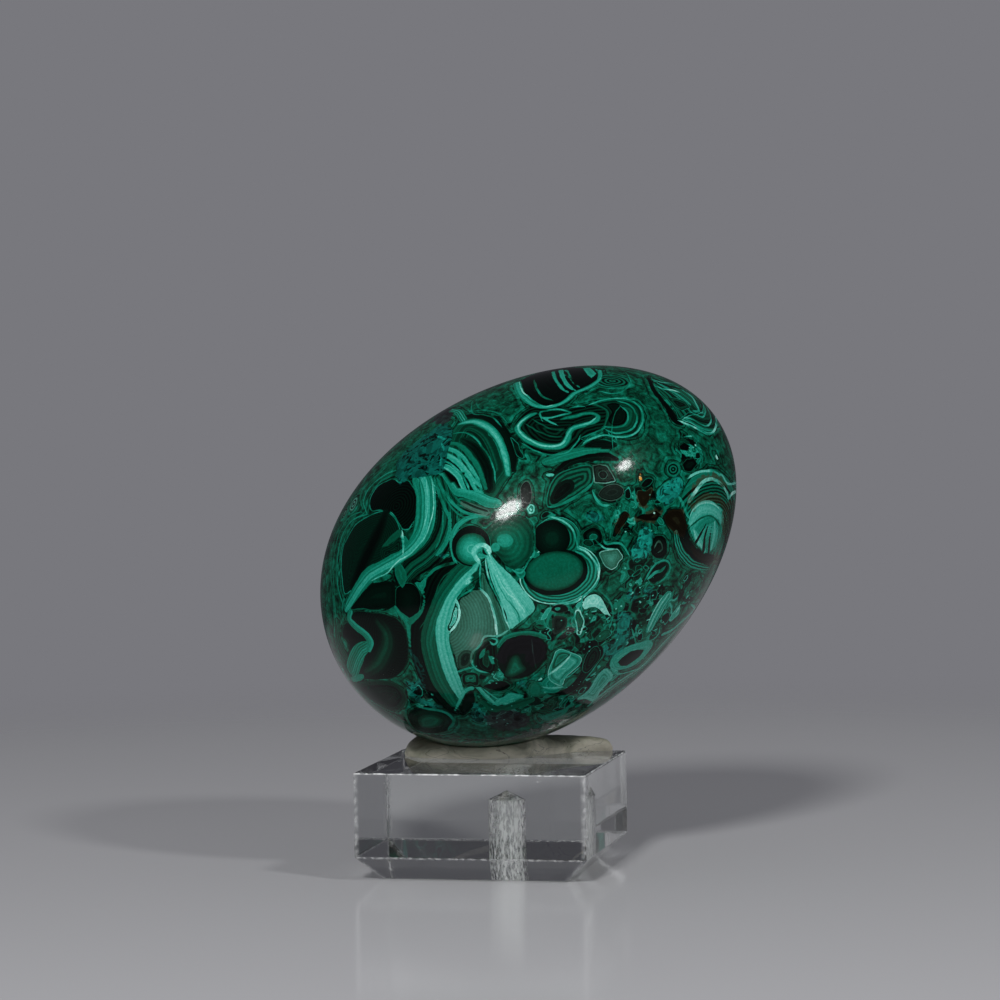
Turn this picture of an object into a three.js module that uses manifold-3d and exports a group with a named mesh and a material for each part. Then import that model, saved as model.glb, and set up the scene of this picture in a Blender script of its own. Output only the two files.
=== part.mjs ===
// A polished malachite egg lying tilted on a strip of mounting putty, on a clear acrylic block.
// Millimetres. The origin is the centre of the block's underside, +X runs along the block's
// width, the front face looks towards -Y, and +Z is up.
import * as THREE from 'three';
import { mergeVertices } from 'three/addons/utils/BufferGeometryUtils.js';
import Module from 'manifold-3d';

// Acrylic block, with a 45 degree bevel along its four bottom edges
const BLOCK_WIDTH = 40;
const BLOCK_DEPTH = 36;
const BLOCK_HEIGHT = 18.4;
const BLOCK_BEVEL = 4;

// Blind hole drilled up into the block from its underside
const HOLE_DIAMETER = 6.35;
const HOLE_CENTRE_X = 3.9;
const HOLE_CENTRE_Y = 0;
const HOLE_ROOF = 4.1; // acrylic left between the drill's tip and the top face
const DRILL_POINT_ANGLE = 118; // degrees, across the cone at the hole's end

// Stone egg: a turned shape whose narrow end points up and to the right
const EGG_LENGTH = 78.3;
const EGG_DIAMETER = 57.5; // at the middle of its length
const EGG_TAPER = 0.1; // how much slimmer the narrow end is than the blunt one
const EGG_FULLNESS = 0.027; // how much both ends are rounder than an ellipse
const EGG_TILT = 35.7; // degrees, long axis above the horizontal
const EGG_TURN = 12.8; // degrees, long axis from the block's width
const EGG_LOWEST_X = -3.65; // where the egg comes lowest, seen from above
const EGG_LOWEST_Y = 7.4;

// Mounting putty, pressed between the block's top face and the egg
const PUTTY_LENGTH = 36;
const PUTTY_WIDTH = 12.4;
const PUTTY_BED = 1.4; // left under the egg's lowest point
const PUTTY_HEIGHT = 3.7; // of the free lump at its middle
const PUTTY_END_DROP = 1; // how much lower the lump is at its two ends
const PUTTY_BULGE = 0.9; // how far the side swells out between its foot and its top
const PUTTY_ROUNDNESS = 0.8; // outline seen from above: 1 is an ellipse, less is squarer
const PUTTY_SHIFT_ALONG = 4.9; // from the egg's lowest point to the lump's middle
const PUTTY_SHIFT_BACK = 0.8;
const SEAT_GAP = 0.3; // between the egg and its imprint

// Fineness of the faceted surfaces
const EGG_SIDES = 48;
const EGG_STEPS = 32;
const HOLE_SIDES = 32;
const PUTTY_SIDES = 40;
const PUTTY_BULGE_STEPS = 4;

const toRadians = THREE.MathUtils.degToRad;
const wasm = await Module();
wasm.setup();

// Joining and cutting of closed meshes
function toSolid(geometry) {
  const bare = geometry.clone();
  bare.deleteAttribute('normal');
  bare.deleteAttribute('uv');
  const merged = mergeVertices(bare, 1e-5);
  return new wasm.Manifold(new wasm.Mesh({
    numProp: 3,
    vertProperties: new Float32Array(merged.attributes.position.array),
    triVerts: new Uint32Array(merged.index.array),
  }));
}

function cutAway(geometry, cutter) {
  const mesh = toSolid(geometry).subtract(toSolid(cutter)).getMesh();
  const result = new THREE.BufferGeometry();
  result.setAttribute('position', new THREE.BufferAttribute(mesh.vertProperties, 3));
  result.setIndex(new THREE.BufferAttribute(mesh.triVerts, 1));
  result.computeVertexNormals();
  return result;
}

// A closed body from rings of points stacked upwards, with a fan over each end.
// Every ring has the same number of points and runs anticlockwise seen from above.
function stackRings(rings, bottomCentre, topCentre) {
  const sides = rings[0].length;
  const points = [...rings.flat(), bottomCentre, topCentre];
  const bottom = rings.length * sides;
  const top = bottom + 1;
  const lastRing = (rings.length - 1) * sides;
  const faces = [];
  for (let side = 0; side < sides; side += 1) {
    const next = (side + 1) % sides;
    faces.push(bottom, next, side);
    faces.push(top, lastRing + side, lastRing + next);
    for (let ring = 0; ring + 1 < rings.length; ring += 1) {
      const low = ring * sides;
      const high = low + sides;
      faces.push(low + side, low + next, high + next);
      faces.push(low + side, high + next, high + side);
    }
  }
  const geometry = new THREE.BufferGeometry().setFromPoints(points);
  geometry.setIndex(faces);
  geometry.computeVertexNormals();
  return geometry;
}

// The egg's outline at an angle from its blunt end (0) to its narrow end (pi), pushed out
// square to the surface by a clearance: x is the radius, y the place along the long axis.
function eggOutline(angle, clearance = 0) {
  const halfLength = EGG_LENGTH / 2;
  const halfDiameter = EGG_DIAMETER / 2;
  const along = -Math.cos(angle);
  const across = Math.sin(angle);
  const swell = 1 - EGG_TAPER * along + EGG_FULLNESS * along * along;
  const swellChange = (2 * EGG_FULLNESS * along - EGG_TAPER) * across;
  const radius = halfDiameter * across * swell;
  const radiusChange = halfDiameter * (swellChange * across - along * swell);
  const normal = new THREE.Vector2(halfLength * across, -radiusChange).normalize();
  return new THREE.Vector2(radius, halfLength * along).addScaledVector(normal, clearance);
}

// The whole egg along +X, its narrow end at +X
function eggGeometry(clearance = 0) {
  const outline = [];
  for (let step = 0; step <= EGG_STEPS; step += 1) {
    outline.push(eggOutline(Math.PI * step / EGG_STEPS, clearance));
  }
  outline[0].x = 0;
  outline[EGG_STEPS].x = 0;
  return new THREE.LatheGeometry(outline, EGG_SIDES).rotateZ(-Math.PI / 2);
}

// Where the tilted egg comes lowest, measured from its centre: x along its turned axis, z up
function eggLowestPoint() {
  const tilt = toRadians(EGG_TILT);
  const samples = 2000;
  const lowest = new THREE.Vector3();
  for (let sample = 0; sample <= samples; sample += 1) {
    const point = eggOutline(Math.PI * sample / samples);
    const height = point.y * Math.sin(tilt) - point.x * Math.cos(tilt);
    if (height < lowest.z) {
      lowest.set(point.y * Math.cos(tilt) + point.x * Math.sin(tilt), 0, height);
    }
  }
  return lowest;
}

// Acrylic block
function acrylicBlock() {
  const corners = (height, inset) => [[-1, -1], [1, -1], [1, 1], [-1, 1]].map(
    ([x, y]) => new THREE.Vector3(x * (BLOCK_WIDTH / 2 - inset), y * (BLOCK_DEPTH / 2 - inset), height),
  );
  const body = stackRings(
    [corners(0, BLOCK_BEVEL), corners(BLOCK_BEVEL, 0), corners(BLOCK_HEIGHT, 0)],
    new THREE.Vector3(0, 0, 0),
    new THREE.Vector3(0, 0, BLOCK_HEIGHT),
  );

  const radius = HOLE_DIAMETER / 2;
  const tip = BLOCK_HEIGHT - HOLE_ROOF;
  const shoulder = tip - radius / Math.tan(toRadians(DRILL_POINT_ANGLE / 2));
  const belowUnderside = -radius;
  const drill = new THREE.LatheGeometry([
    new THREE.Vector2(0, belowUnderside),
    new THREE.Vector2(radius, belowUnderside),
    new THREE.Vector2(radius, shoulder),
    new THREE.Vector2(0, tip),
  ], HOLE_SIDES);
  drill.rotateX(Math.PI / 2);
  drill.translate(HOLE_CENTRE_X, HOLE_CENTRE_Y, 0);

  const material = new THREE.MeshStandardMaterial({
    color: 0xf2f6f4, roughness: 0.05, metalness: 0, transparent: true, opacity: 0.35, flatShading: true,
  });
  const mesh = new THREE.Mesh(cutAway(body, drill), material);
  mesh.name = 'acrylic_block';
  return mesh;
}

// Stone egg
function stoneEgg() {
  const material = new THREE.MeshStandardMaterial({
    color: 0x0b6b4f, roughness: 0.12, metalness: 0,
  });
  const mesh = new THREE.Mesh(eggGeometry(), material);
  const lowest = eggLowestPoint();
  mesh.position.set(-lowest.x, 0, PUTTY_BED + SEAT_GAP - lowest.z);
  mesh.rotation.y = -toRadians(EGG_TILT);
  mesh.name = 'stone_egg';
  return mesh;
}

// Mounting putty: a long rounded lump with the egg's imprint in its top
function tackPutty(egg) {
  const heightAt = (x) => PUTTY_HEIGHT - PUTTY_END_DROP * (2 * x / PUTTY_LENGTH) ** 2;
  const squarer = (value) => Math.sign(value) * Math.abs(value) ** PUTTY_ROUNDNESS;
  const ring = (inset, rise) => {
    const points = [];
    for (let side = 0; side < PUTTY_SIDES; side += 1) {
      const angle = 2 * Math.PI * side / PUTTY_SIDES;
      const x = (PUTTY_LENGTH / 2 - inset) * squarer(Math.cos(angle));
      const y = (PUTTY_WIDTH / 2 - inset) * squarer(Math.sin(angle));
      points.push(new THREE.Vector3(x, y, rise * heightAt(x)));
    }
    return points;
  };
  const rings = [];
  for (let step = 0; step <= PUTTY_BULGE_STEPS; step += 1) {
    const climb = Math.PI * (step / PUTTY_BULGE_STEPS - 0.5);
    rings.push(ring(PUTTY_BULGE * (1 - Math.cos(climb)), (1 + Math.sin(climb)) / 2));
  }
  const lump = stackRings(rings, new THREE.Vector3(), new THREE.Vector3(0, 0, PUTTY_HEIGHT));
  lump.translate(PUTTY_SHIFT_ALONG, PUTTY_SHIFT_BACK, 0);

  egg.updateMatrix();
  const imprint = eggGeometry(SEAT_GAP).applyMatrix4(egg.matrix);
  const material = new THREE.MeshStandardMaterial({
    color: 0x8f9183, roughness: 0.75, metalness: 0,
  });
  const mesh = new THREE.Mesh(cutAway(lump, imprint), material);
  mesh.name = 'tack_putty';
  return mesh;
}

// The egg and its putty share one turned group, whose origin lies on the block's top face
// under the egg's lowest point.
const seat = new THREE.Group();
seat.position.set(EGG_LOWEST_X, EGG_LOWEST_Y, BLOCK_HEIGHT);
seat.rotation.z = toRadians(EGG_TURN);
const egg = stoneEgg();
seat.add(egg, tackPutty(egg));

const group = new THREE.Group();
group.add(acrylicBlock(), seat);

export default group;
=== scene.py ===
import math
import bpy
import numpy as np
from mathutils import Matrix, Vector


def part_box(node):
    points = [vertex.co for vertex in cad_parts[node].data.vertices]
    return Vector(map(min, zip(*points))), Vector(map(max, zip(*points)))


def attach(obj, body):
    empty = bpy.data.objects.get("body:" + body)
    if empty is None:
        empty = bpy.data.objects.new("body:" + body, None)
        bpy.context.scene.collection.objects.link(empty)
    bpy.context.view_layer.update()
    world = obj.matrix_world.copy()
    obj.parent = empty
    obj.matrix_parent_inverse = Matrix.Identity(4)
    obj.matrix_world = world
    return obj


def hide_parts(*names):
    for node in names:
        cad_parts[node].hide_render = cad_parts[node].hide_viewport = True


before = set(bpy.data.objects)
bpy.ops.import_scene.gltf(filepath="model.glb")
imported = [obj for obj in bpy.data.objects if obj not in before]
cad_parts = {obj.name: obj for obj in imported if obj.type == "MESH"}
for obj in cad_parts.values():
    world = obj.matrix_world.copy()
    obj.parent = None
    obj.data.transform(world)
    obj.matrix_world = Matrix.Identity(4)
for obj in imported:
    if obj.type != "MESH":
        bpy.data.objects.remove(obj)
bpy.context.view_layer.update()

MILLIMETRE = 0.001  # metres; shapes are worked out in millimetres and put into meshes in metres


# Camera
# A long lens, a little higher than the egg and to the right of the block's front, tipped
# slightly down, with a small roll. Places on the egg's front are pixels of its view.
PICTURE_SIZE = 1000  # pixels, square
LENS_REACH = 4250  # pixels: picture size over sensor width times focal length
SENSOR_WIDTH = 36
CAMERA_TURN = math.radians(12.761)
CAMERA_TIP = math.radians(3.294)
CAMERA_ROLL = math.radians(0.967)
CAMERA_ASIDE = 2.14  # millimetres from the middle of the block's underside, as the next two are
CAMERA_DISTANCE = 725.5
CAMERA_HEIGHT = 105.1

level_right = np.array([math.cos(CAMERA_TURN), math.sin(CAMERA_TURN), 0.0])
level_ahead = np.array([-math.sin(CAMERA_TURN), math.cos(CAMERA_TURN), 0.0])
straight_up = np.array([0.0, 0.0, 1.0])
camera_place = CAMERA_ASIDE * level_right - CAMERA_DISTANCE * level_ahead + CAMERA_HEIGHT * straight_up
camera_ahead = math.cos(CAMERA_TIP) * level_ahead - math.sin(CAMERA_TIP) * straight_up
tipped_up = math.sin(CAMERA_TIP) * level_ahead + math.cos(CAMERA_TIP) * straight_up
camera_right = math.cos(CAMERA_ROLL) * level_right - math.sin(CAMERA_ROLL) * tipped_up
camera_up = math.sin(CAMERA_ROLL) * level_right + math.cos(CAMERA_ROLL) * tipped_up

camera = bpy.data.objects.new("camera", bpy.data.cameras.new("camera"))
bpy.context.scene.collection.objects.link(camera)
camera.data.sensor_width = SENSOR_WIDTH
camera.data.lens = SENSOR_WIDTH * LENS_REACH / PICTURE_SIZE
camera.data.clip_start = 0.05
camera.data.clip_end = 20
axes = Matrix((camera_right, camera_up, -camera_ahead)).transposed().to_4x4()
camera.matrix_world = Matrix.Translation(Vector(camera_place * MILLIMETRE)) @ axes
bpy.context.scene.camera = camera


def picture_place(points):
    """Pixels of the camera's view at which points in millimetres show: sideways and upward
    distance over depth, times the lens reach, from the middle of the picture."""
    offset = points - camera_place
    depth = offset @ camera_ahead
    across = PICTURE_SIZE / 2 + LENS_REACH * (offset @ camera_right) / depth
    down = PICTURE_SIZE / 2 - LENS_REACH * (offset @ camera_up) / depth
    return np.stack([across, down], axis=-1)


# Stone egg
# One solid lump of malachite, ground to an egg, polished and waxed. It lies tilted with
# its narrow end up, held by nothing but the putty under it.
EGG_LENGTH = 78.3
EGG_DIAMETER = 57.5  # at the middle of its length
EGG_TAPER = 0.1  # how much slimmer the narrow end is
EGG_FULLNESS = 0.027  # how much both ends are rounder than an ellipse
EGG_TILT = math.radians(35.7)
EGG_TURN = math.radians(12.8)
EGG_LOWEST = (-3.65, 7.4)  # where it comes lowest, seen from above
EGG_CLEARANCE = 1.7  # from the block's top face up to the egg's lowest point
EGG_ROWS = 248
EGG_COLUMNS = 400
FRONT_FINENESS = 0.3  # how much closer the columns stand on the front than on average

block_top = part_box("acrylic_block")[1][2] / MILLIMETRE
egg_axis = np.array([
    math.cos(EGG_TILT) * math.cos(EGG_TURN), math.cos(EGG_TILT) * math.sin(EGG_TURN), math.sin(EGG_TILT)])
egg_front = np.array([math.sin(EGG_TURN), -math.cos(EGG_TURN), 0.0])
egg_side = np.cross(egg_axis, egg_front)


def egg_radius(along):
    """Half the egg's thickness at a place along its axis, -1 at the blunt end and 1 at the
    narrow end: an ellipse, made slimmer towards 1 and a little fuller at both ends."""
    swell = 1 - EGG_TAPER * along + EGG_FULLNESS * along ** 2
    return EGG_DIAMETER / 2 * np.sqrt(np.clip(1 - along ** 2, 0, None)) * swell


# The egg's lowest point from its centre, found on its outline in the upright plane
outline_along = np.cos(np.linspace(0, math.pi, 4001))
outline_rise = EGG_LENGTH / 2 * outline_along * math.sin(EGG_TILT)
outline_drop = egg_radius(outline_along) * math.cos(EGG_TILT) - outline_rise
lowest = outline_along[np.argmax(outline_drop)]
lowest_ahead = EGG_LENGTH / 2 * lowest * math.cos(EGG_TILT) + egg_radius(lowest) * math.sin(EGG_TILT)
egg_centre = np.array([
    EGG_LOWEST[0] - lowest_ahead * math.cos(EGG_TURN),
    EGG_LOWEST[1] - lowest_ahead * math.sin(EGG_TURN),
    block_top + EGG_CLEARANCE + outline_drop.max()])


def egg_grid(rows, columns, grow=0.0):
    """Points of the egg in rings from the blunt end to the narrow end, then its two tips.
    A ring's points turn about the axis, closer together on the side that faces the camera."""
    along = -np.cos(np.linspace(0, math.pi, rows + 2)[1:-1])[:, None]
    turn = np.arange(columns) / columns * 2 * math.pi
    turn = (turn - FRONT_FINENESS * np.sin(turn))[None, :]
    spoke = np.cos(turn)[..., None] * egg_front + np.sin(turn)[..., None] * egg_side
    ring = (egg_radius(along) + grow)[..., None] * spoke
    points = egg_centre + (EGG_LENGTH / 2 + grow) * along[..., None] * egg_axis + ring
    tips = egg_centre + np.array([[-1.0], [1.0]]) * (EGG_LENGTH / 2 + grow) * egg_axis
    return np.concatenate([points.reshape(-1, 3), tips])


def ring_faces(rows, columns):
    """Quads between neighbouring rings of a closed stack, and fans from its two tips, which
    are the last two points."""
    row, column = np.meshgrid(np.arange(rows - 1), np.arange(columns), indexing="ij")
    here = (row * columns + column).ravel()
    beside = (row * columns + (column + 1) % columns).ravel()
    quads = np.stack([here, beside, beside + columns, here + columns], axis=1)
    first = np.arange(columns)
    second = (first + 1) % columns
    last = (rows - 1) * columns
    low_fan = np.stack([np.full(columns, rows * columns), second, first], axis=1)
    high_fan = np.stack([np.full(columns, rows * columns + 1), last + first, last + second], axis=1)
    return quads, np.concatenate([low_fan, high_fan])


def add_piece(name, points, quads, triangles, body, slot_name, material):
    """Puts points in millimetres and their faces into a smooth mesh that rides on a body."""
    mesh = bpy.data.meshes.new(name)
    mesh.vertices.add(len(points))
    mesh.vertices.foreach_set("co", (points * MILLIMETRE).astype(np.float32).ravel())
    sizes = np.concatenate([np.full(len(quads), 4), np.full(len(triangles), 3)]).astype(np.int32)
    mesh.loops.add(int(sizes.sum()))
    corners = np.concatenate([np.ravel(quads), np.ravel(triangles)]).astype(np.int32)
    mesh.loops.foreach_set("vertex_index", corners)
    mesh.polygons.add(len(sizes))
    mesh.polygons.foreach_set("loop_start", np.concatenate([[0], np.cumsum(sizes)[:-1]]).astype(np.int32))
    mesh.polygons.foreach_set("use_smooth", np.ones(len(sizes), dtype=bool))
    mesh.update(calc_edges=True)
    mesh.validate()
    piece = bpy.data.objects.new(name, mesh)
    bpy.context.scene.collection.objects.link(piece)
    mesh.materials.append(material)
    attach(piece, body)
    return piece


# The stone's pattern is drawn as shapes on the egg's surface: round and lobed nodules,
# ribbons of pale growth and thin lines. Six layers hold them, each over the last. A layer
# keeps, for every point, the distance to its nearest shape's edge in millimetres (less
# than 0 inside), the count of growth bands, and how light, banded and grey the shape is.
egg_points = egg_grid(EGG_ROWS, EGG_COLUMNS)
axis_place = (egg_points - egg_centre) @ egg_axis / (EGG_LENGTH / 2)
from_axis = (egg_points - egg_centre) - np.outer(axis_place * EGG_LENGTH / 2, egg_axis)
slope = (egg_radius(axis_place + 1e-4) - egg_radius(axis_place - 1e-4)) / 2e-4 / (EGG_LENGTH / 2)
STEEPEST = 9  # slope at which the outline counts as no steeper, close to the tips
egg_normals = from_axis / np.maximum(np.linalg.norm(from_axis, axis=1), 1e-6)[:, None]
egg_normals = egg_normals - np.outer(np.clip(slope, -STEEPEST, STEEPEST), egg_axis)
egg_normals[-2:] = [-egg_axis, egg_axis]
egg_normals /= np.linalg.norm(egg_normals, axis=1)[:, None]
egg_pixels = picture_place(egg_points)
sight_lines = camera_place - egg_points
facing = (egg_normals * sight_lines).sum(axis=1) / np.linalg.norm(sight_lines, axis=1)
in_view = np.nonzero(facing > 0)[0]

LAYER_COUNT = 6
FAR = 3.0  # millimetres, past which a shape has no effect
layers = [{
    "reach": np.tile(np.array([FAR, 0.0, 0.0, 0.0]), (len(egg_points), 1)),
    "finish": np.zeros((len(egg_points), 4)),
} for _ in range(LAYER_COUNT)]
LINE_SHEETS = 3  # thin lines that run close beside each other are kept apart in these
line_sheets = [np.tile(np.array([FAR, -1.0, 0.0]), (len(egg_points), 1)) for _ in range(LINE_SHEETS)]
LINE_SURROUND = 0.9  # millimetres on each side of a line
LINE_FALL = 0.9  # by how much its width falls with each millimetre past half its surround
LINE_TAPER = 4  # pieces of its path over which a line swells from its end
LINE_END = 0.3  # share of its width that a line keeps at its ends
BAND_SHIFT = 17.3  # bands by which each shape starts later in the chance sequence of bands
PATCH_KINDS = ("teal", "brown", "purple", "broken", "amber")
patch_field = np.zeros((len(egg_points), len(PATCH_KINDS)))
outer_distance = np.full(len(egg_points), FAR)
shapes_drawn = 0

PLAIN_STYLE = dict(
    core=None, core_depth=2.0, contrast=0.1, pitch=0.5, rim_width=0.12, grey=0.0, even=0.0, halo=True)


def on_front(places):
    """Points of the egg that show at these pixels: the mean of the four nearest mesh points,
    weighted by one over their squared distance in the picture. Points in space stay."""
    places = np.atleast_2d(np.asarray(places, dtype=float))
    if places.shape[1] == 3:
        return places
    squared = ((egg_pixels[in_view][None] - places[:, None]) ** 2).sum(axis=2)
    nearest = np.argsort(squared, axis=1)[:, :4]
    weight = 1 / (np.take_along_axis(squared, nearest, axis=1) + 1e-3)
    weight /= weight.sum(axis=1, keepdims=True)
    return (egg_points[in_view][nearest] * weight[..., None]).sum(axis=1)


def touching_axes(centre):
    """The egg's normal at a point and two directions along its surface, across and up."""
    normal = egg_normals[np.argmin(((egg_points - centre) ** 2).sum(axis=1))]
    across = camera_right - normal * (camera_right @ normal)
    if np.linalg.norm(across) < 0.3:
        across = camera_up - normal * (camera_up @ normal)
    across /= np.linalg.norm(across)
    return normal, across, np.cross(normal, across)


def local_map(course, margin=0.0):
    """The mesh points within reach of some places, and a function that unrolls points onto
    the plane touching the egg in their middle, each as far from there as it is in space."""
    centre = course.mean(axis=0)
    reach = FAR + margin
    chosen = np.nonzero(np.all(
        (egg_points > course.min(axis=0) - reach) & (egg_points < course.max(axis=0) + reach), axis=1))[0]
    _, across, upward = touching_axes(centre)

    def flatten(points):
        offset = points - centre
        flat = np.stack([offset @ across, offset @ upward], axis=1)
        length = np.maximum(np.linalg.norm(flat, axis=1), 1e-6)
        return flat * (np.linalg.norm(offset, axis=1) / length)[:, None]
    return chosen, flatten


def smooth_path(points, closed, steps=6):
    """A curve through the points, of cubic pieces whose slope at each point is half the
    step from the point before to the point after."""
    points = np.asarray(points, dtype=float)
    if closed:
        before, after, beyond = np.roll(points, 1, 0), np.roll(points, -1, 0), np.roll(points, -2, 0)
        here = points
    else:
        padded = np.concatenate([points[:1], points, points[-1:]])
        before, here, after, beyond = padded[:-3], padded[1:-2], padded[2:-1], padded[3:]
    t = (np.arange(steps) / steps)[None, :, None]
    a, b, c, d = (p[:, None] for p in (before, here, after, beyond))
    bend = a - 2.5 * b + 2 * c - d / 2
    twist = 1.5 * (b - c) + (d - a) / 2
    curve = b + t * (c - a) / 2 + t ** 2 * bend + t ** 3 * twist
    curve = curve.reshape(-1, points.shape[1])
    return curve if closed else np.concatenate([curve, points[-1:]])


def path_distance(places, starts, ends):
    """For each place, the distance to the nearest of the pieces of a path, which side of
    it the place is on, and how far along the path, counted in pieces, the nearest point is."""
    piece = ends - starts
    length = np.maximum((piece ** 2).sum(axis=1), 1e-12)
    offset = places[:, None] - starts[None]
    share = np.clip((offset * piece).sum(axis=2) / length, 0, 1)
    gap = offset - share[..., None] * piece
    squared = (gap ** 2).sum(axis=2)
    nearest = np.argmin(squared, axis=1)
    row = np.arange(len(places))
    turn = piece[nearest, 0] * offset[row, nearest, 1] - piece[nearest, 1] * offset[row, nearest, 0]
    return np.sqrt(squared[row, nearest]), np.where(turn < 0, -1.0, 1.0), nearest + share[row, nearest]


def outline_distance(places, corners, sharp=False):
    """Distance to a closed outline through the corners, less than 0 inside, where a line to
    the right crosses the outline an odd number of times."""
    curve = corners if sharp else smooth_path(corners, closed=True)
    following = np.roll(curve, -1, 0)
    distance, _, _ = path_distance(places, curve, following)
    above = curve[None, :, 1] > places[:, None, 1]
    crosses = above != np.roll(above, -1, 1)
    rise = following[:, 1] - curve[:, 1]
    rise = np.where(np.abs(rise) < 1e-9, 1e-9, rise)
    meeting = curve[:, 0] + (places[:, None, 1] - curve[:, 1]) / rise * (following[:, 0] - curve[:, 0])
    inside = (crosses & (places[:, None, 0] < meeting)).sum(axis=1) % 2 == 1
    return np.where(inside, -distance, distance)


def draw_shape(layer, tone, rim, chosen, distance, bands, style):
    """Lays one shape into a layer at the points where it is the nearest."""
    global shapes_drawn
    style = {**PLAIN_STYLE, **style}
    shapes_drawn += 1
    target = layers[layer - 1]
    wins = distance < target["reach"][chosen, 0]
    points = chosen[wins]
    core = tone if style["core"] is None else style["core"]
    depth = np.clip(-distance[wins] / style["core_depth"], 0, 1)
    count = bands[wins] / style["pitch"] + BAND_SHIFT * shapes_drawn
    contrast = np.full(len(points), style["contrast"])
    tones = tone + (core - tone) * depth
    target["reach"][points] = np.stack([distance[wins], count, tones, contrast], axis=1)
    target["finish"][points] = (rim, style["rim_width"], style["grey"], style["even"])
    if style["halo"]:
        outer_distance[chosen] = np.minimum(outer_distance[chosen], distance)


def turned(flat, angle):
    """Flat places turned by an angle in degrees."""
    angle = math.radians(angle)
    return flat @ np.array([[math.cos(angle), -math.sin(angle)], [math.sin(angle), math.cos(angle)]])


def nodule(place, layer, tone, rim, size, turn=0, **style):
    """An oval nodule: size is its half width and half height in millimetres, its bands are
    ovals about its centre. The distance to its edge is taken as near (near - 1) / steep,
    with near the length of the place over the half sizes, steep that over their squares."""
    chosen, flatten = local_map(on_front(place), max(size))
    flat = turned(flatten(egg_points[chosen]), turn)
    scaled = flat / np.asarray(size)
    near = np.linalg.norm(scaled, axis=1)
    steep = np.maximum(np.linalg.norm(scaled / np.asarray(size), axis=1), 1e-6)
    distance = np.where(near < 0.05, -min(size), near * (near - 1) / steep)
    draw_shape(layer, tone, rim, chosen, distance, near * min(size), style)


def lobe(corners, layer, tone, rim, centre=None, apex=None, sharp=False, **style):
    """A nodule or fragment with an outline through given corners. Its bands follow the outline, are
    rings about centre, or spread like a fan from apex, where the pitch is in degrees."""
    chosen, flatten = local_map(on_front(corners))
    flat = flatten(egg_points[chosen])
    distance = outline_distance(flat, flatten(on_front(corners)), sharp)
    bands = -distance
    if centre is not None:
        bands = np.linalg.norm(flat - flatten(on_front(centre)), axis=1)
    if apex is not None:
        offset = flat - flatten(on_front(apex))
        bands = np.degrees(np.arctan2(offset[:, 1], offset[:, 0]))
    draw_shape(layer, tone, rim, chosen, distance, bands, style)


def ribbon(path, layer, tone, rim, half_widths, **style):
    """A band of growth along a path, with a half width in millimetres at each path point.
    Its bands run lengthwise."""
    chosen, flatten = local_map(on_front(path), max(half_widths))
    flat = flatten(egg_points[chosen])
    curve = smooth_path(flatten(on_front(path)), closed=False)
    distance, side, along = path_distance(flat, curve[:-1], curve[1:])
    widths = smooth_path(np.asarray(half_widths, dtype=float)[:, None], closed=False)[:, 0]
    width = np.interp(along, np.linspace(0, len(curve) - 1, len(widths)), widths)
    draw_shape(layer, tone, rim, chosen, distance - width, side * distance, style)


def line(path, half_width, tone):
    """A thin line of pale growth along a path, narrower at its ends. It goes into the sheet
    where it meets the fewest other lines; away from it, its width falls below 0."""
    chosen, flatten = local_map(on_front(path))
    curve = smooth_path(flatten(on_front(path)), closed=False)
    distance, side, along = path_distance(flatten(egg_points[chosen]), curve[:-1], curve[1:])
    ends = np.minimum(along, len(curve) - 1 - along)
    width = half_width * np.clip(LINE_END + ends / LINE_TAPER, 0, 1)
    width -= LINE_FALL * np.clip(distance - LINE_SURROUND / 2, 0, None)
    beside = distance < LINE_SURROUND
    meetings = [(np.abs(sheet[chosen, 0])[beside] < LINE_SURROUND).sum() for sheet in line_sheets]
    sheet = line_sheets[int(np.argmin(meetings))]
    wins = beside & (distance < np.abs(sheet[chosen, 0]))
    sheet[chosen[wins]] = np.stack(
        [side[wins] * distance[wins], width[wins], np.full(wins.sum(), tone)], axis=1)


def stain(corners, kind, strength=1.0):
    """A filling or stain of another mineral inside an outline, fading over 1 mm at its edge."""
    chosen, flatten = local_map(on_front(corners))
    distance = outline_distance(flatten(egg_points[chosen]), flatten(on_front(corners)))
    column = PATCH_KINDS.index(kind)
    patch_field[chosen, column] = np.maximum(
        patch_field[chosen, column], strength * np.clip(0.5 - distance, 0, 1))


def oval_corners(centre, size, turn=0, count=8, chance=None, uneven=0.4):
    """Corners round an oval on the egg, pushed in and out by chance if one is given, each by
    up to the uneven share of its distance from the centre."""
    middle = on_front(centre)[0]
    _, across, upward = touching_axes(middle)
    angle = np.arange(count) * 2 * math.pi / count
    flat = np.stack([np.cos(angle) * size[0], np.sin(angle) * size[1]], axis=1)
    if chance:
        flat *= chance.uniform(1 - uneven, 1 + uneven, count)[:, None]
    flat = turned(flat, -turn)
    return middle + flat[:, :1] * across + flat[:, 1:] * upward


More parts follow.
